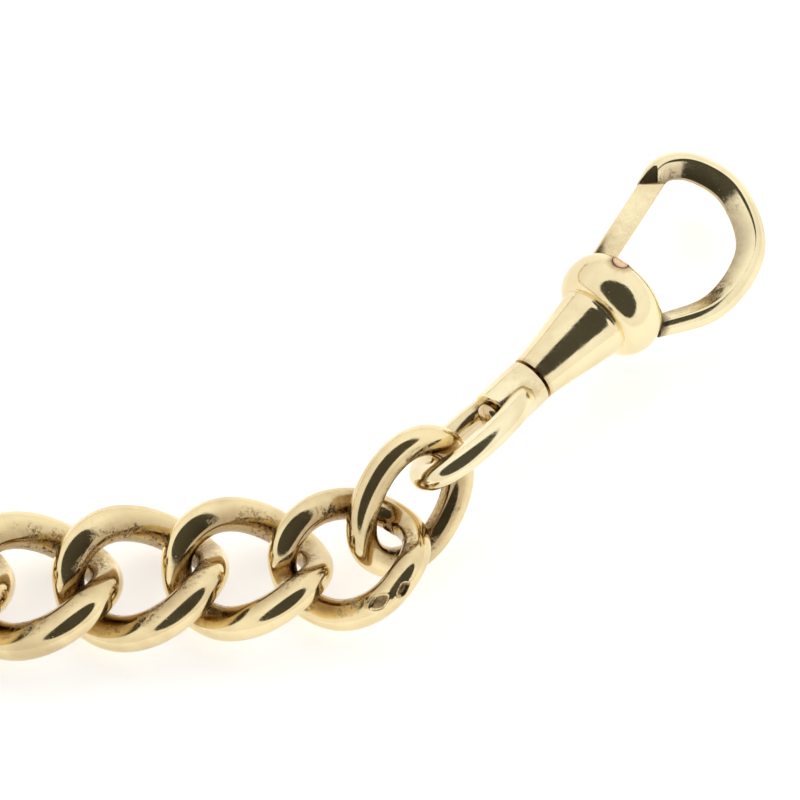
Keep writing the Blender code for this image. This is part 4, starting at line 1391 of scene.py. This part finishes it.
@dataclass
class PlainLinks:
    """The two plain oval links, one at each end of the curb links."""

    jump: Ring = field(default_factory=lambda: Ring(12.55, 10.05, 2.45, 2.45, steps=240, sides=56))
    tail: Ring = field(default_factory=lambda: Ring(11.4, 9.0, 2.2, 2.2))

    def build(self, bench: Bench) -> None:
        """Make both links."""
        for ring, node in ((self.jump, "jump_link"), (self.tail, "tail_link")):
            bench.take(ring.make(f"plain_{node}", symmetric_place(node)), node, node, YELLOW)

    def weather(self, bench: Bench) -> None:
        """Wear both links where they bear, and mark them there for tarnish and painted shade."""
        bench.weather("jump_link", ["swivel_loop", "curb_link_01"], dent=0.12)
        bench.weather("tail_link", ["curb_link_24", "tbar_eye"], dent=0.12)


# ---------------------------------------------------------------- the T-bar


@dataclass
class TBar:
    """The bar with its banded collar, its eye and a ball at each end."""

    length: float = 30.0
    radius: float = 1.35
    waist: float = 1.75
    ball: float = 2.1
    collar: float = 2.3
    collar_length: float = 5.6
    bar_taper: float = 1.5
    collar_gap: float = 0.02
    groove: float = 0.25
    band_lip: float = 0.3
    band_length: float = 0.8
    band_edge: float = 0.18
    belly: tuple[float, float] = (0.14, 0.35)
    ball_gap: float = 0.1
    eye_seat: tuple[float, float] = (0.05, 5.0)
    eye_rise: float = 2.0
    eye: Ring = field(default_factory=lambda: Ring(8.1, 7.1, 1.7, 1.7))

    def place(self) -> Place:
        """The T-bar's frame: X from the bar towards its eye, Y along the bar."""
        middle = node_points("tbar_bar").mean(0)
        y = unit(joint_named("tbar_hinge")["axis"])
        x = node_points("tbar_eye").mean(0) - middle
        x = unit(x - np.dot(x, y) * y)
        return Place(middle, np.array([x, y, np.cross(x, y)]))

    def build(self, bench: Bench) -> None:
        """Make the T-bar's pieces.

        Args:
            bench: Where the pieces go.
        """
        place = self.place()
        along = place.turned([(0, 1, 0), (-1, 0, 0), (0, 0, 1)], (0.0, 0.0, 0.0))
        half = 0.5 * self.length - self.ball
        end = 0.5 * self.collar_length
        bar = [(0.0, half)]
        for share in np.linspace(0.0, 1.0, 20):
            swell = (self.waist - self.radius) * share ** self.bar_taper
            bar.append((self.radius + swell, half + (end - half) * share))
        bar += [(radius, -y) for radius, y in reversed(bar)]
        points, faces = turned(bar, 64)
        bench.take(mesh_object("tapered_bar", along.world(points), faces), "tbar_bar", "tbar", YELLOW)

        bore, rim = self.waist + self.collar_gap, self.collar - self.groove
        inner = end - self.band_length
        band = [(bore, end), (rim, end), (self.collar, end - self.band_lip), (self.collar, inner)]
        band += [(rim, inner - self.groove), (rim + self.belly[0], self.belly[1] * end)]
        band = rounded(band + [(radius, -y) for radius, y in reversed(band)], self.band_edge)
        points, faces = turned(band + [band[0]], 64)
        bench.take(mesh_object("banded_collar", along.world(points), faces), "tbar_collar", "tbar", YELLOW)

        sink = math.sqrt(self.ball ** 2 - self.radius ** 2)
        for node, side in (("tbar_ball_left", 1.0), ("tbar_ball_right", -1.0)):
            middle = side * (half + self.ball_gap + sink)
            angles = np.linspace(0.0, math.pi, 40)
            profile = [(self.ball * math.sin(angle), self.ball * math.cos(angle)) for angle in angles]
            profile[0], profile[-1] = (0.0, self.ball), (0.0, -self.ball)
            profile = [(radius, y * side + middle) for radius, y in profile]
            points, faces = turned(profile, 64)
            bench.take(mesh_object(f"bead_{node}", along.world(points), faces), node, "tbar", YELLOW)

        vertices, faces, inward = self.eye.shape()
        shift = [self.collar + self.eye_rise, 0.0, 0.0]
        eye = mesh_object("soldered_eye", place.world(vertices + shift), faces)
        # Inner faces are tinted darker through this attribute as painted shade, and take grit.
        write_attribute(eye.data, "inside", np.clip(inward, 0.0, 1.0))
        depth, reach = self.eye_seat
        cut_away(eye, [cylinder("eye_seat", along, rim - depth, (reach, -reach), 64)])
        bench.take(eye, "tbar_eye", "tbar", YELLOW)

    def weather(self, bench: Bench) -> None:
        """Mark where the T-bar's pieces meet and bear."""
        bench.weather("tbar_eye", ["tbar_collar", "tail_link"], reach=1.0, dent=0.08)
        bench.weather("tbar_collar", ["tbar_bar", "tbar_eye"], reach=0.5)
        bench.weather("tbar_bar", ["tbar_collar", "tbar_ball_left", "tbar_ball_right"], reach=0.7)
        for node in ("tbar_ball_left", "tbar_ball_right"):
            bench.weather(node, ["tbar_bar"], reach=0.7)


# ---------------------------------------------------------------- studio


@dataclass
class Studio:
    """Camera, pale floor and a bright tent with one dark opening above the camera's side."""

    elevation: float = 66.0
    distance: float = 330.0
    half_field: float = 30.77
    aim_from_clip: tuple[float, float, float] = (-16.35, -7.4, -1.5)
    tent: float = 1.12
    opening: Colour = (0.068, 0.064, 0.050)
    opening_reach: tuple[float, float] = (44.5, 47.0)
    sheet_glow: float = 0.58
    sheet_half: float = 2000.0
    low_wall: Colour = (0.80, 0.74, 0.66)
    wall_band: tuple[float, float, float, float] = (-0.1, 0.9, 0.35, 0.0)
    sensor: float = 36.0

    def toward_camera(self) -> Vector:
        """Direction from the object to the camera."""
        angle = math.radians(self.elevation)
        return Vector((0.0, -math.cos(angle), math.sin(angle)))

    def build(self, clip: Clip) -> None:
        """Make the camera, the light and the floor.

        Args:
            clip: The clip, whose place the camera's aim is told from.
        """
        aim = Vector(clip.place().origin + np.array(self.aim_from_clip)) * MM
        lens = bpy.data.cameras.new("camera")
        lens.sensor_width = self.sensor
        lens.lens = 0.5 * self.sensor * self.distance / self.half_field
        lens.clip_start, lens.clip_end = 0.01, 10.0
        camera = bpy.data.objects.new("camera", lens)
        bpy.context.scene.collection.objects.link(camera)
        back = self.toward_camera()
        camera.location = aim + back * self.distance * MM
        camera.rotation_mode = "QUATERNION"
        camera.rotation_quaternion = (-back).to_track_quat("-Z", "Y")
        bpy.context.scene.camera = camera
        self.light()
        self.floor()
        bpy.context.scene.view_settings.view_transform = "Standard"

    def light(self) -> None:
        """A white tent all round, with a soft-edged dark opening that polished metal mirrors."""
        world = bpy.data.worlds.new("tent")
        world.use_nodes = True
        bpy.context.scene.world = world
        tree = Tree(world.node_tree)
        background = world.node_tree.nodes["Background"]
        direction = tree.add("TexCoord").outputs["Generated"]
        facing = tree.add("VectorMath", operation="DOT_PRODUCT")
        tree.feed(facing, 0, direction)
        tree.feed(facing, 1, self.toward_camera())
        inner, outer = (math.cos(math.radians(angle)) for angle in self.opening_reach)
        dark = tree.remap(facing.outputs["Value"], outer, inner, 0.0, 1.0)
        height = tree.add("SeparateXYZ")
        tree.feed(height, 0, direction)
        shade_share = tree.remap(height.outputs[2], *self.wall_band)
        wall = tree.blend(shade_share, WHITE, (*self.low_wall, 1.0))
        tone = tree.blend(dark, wall, (*self.opening, 1.0))
        seen = tree.add("LightPath").outputs["Is Camera Ray"]
        tone = tree.blend(seen, tone, WHITE)
        tree.feed(background, "Color", tone)
        tree.feed(background, "Strength", self.tent)

    def floor(self) -> None:
        """A wide matt sheet under the chain."""
        half = self.sheet_half
        corners = np.array([[-half, -half, 0.0], [half, -half, 0.0], [half, half, 0.0], [-half, half, 0.0]])
        sheet = mesh_object("sheet", corners, [[0, 1, 2, 3]])
        material = bpy.data.materials.new("matt_sheet")
        material.use_nodes = True
        shader = material.node_tree.nodes["Principled BSDF"]
        shader.inputs["Roughness"].default_value = 0.9
        shader.inputs["Specular IOR Level"].default_value = 0.1
        tree = Tree(material.node_tree)
        place = tree.add("TexCoord").outputs["Object"]
        fibre = tree.noise(place, FIBRE)
        share = tree.remap(fibre, *FIBRE_BAND)
        tone = tree.blend(share, (0.985, 0.985, 0.985, 1.0), (0.97, 0.97, 0.97, 1.0))
        tree.feed(shader, "Base Color", tone)
        shader.inputs["Emission Color"].default_value = WHITE
        shader.inputs["Emission Strength"].default_value = self.sheet_glow
        sheet.data.materials.append(material)


def main() -> None:
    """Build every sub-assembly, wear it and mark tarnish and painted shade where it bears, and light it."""
    logging.basicConfig(level=logging.INFO, format="%(name)s: %(message)s")
    bench = Bench()
    clip, swivel, links, chain, tbar = Clip(), Swivel(), PlainLinks(), CurbChain(), TBar()
    for part in (clip, swivel, links, chain, tbar):
        part.build(bench)
    for part in (clip, swivel, links, chain, tbar):
        part.weather(bench)
    spring = frame["nodes"]["gate_spring"]
    bench.wardrobe.dress(spring, STEEL)
    LOG.info("kept gate_spring from the frame with a steel finish")
    Studio().build(clip)


if __name__ == "__main__":
    main()
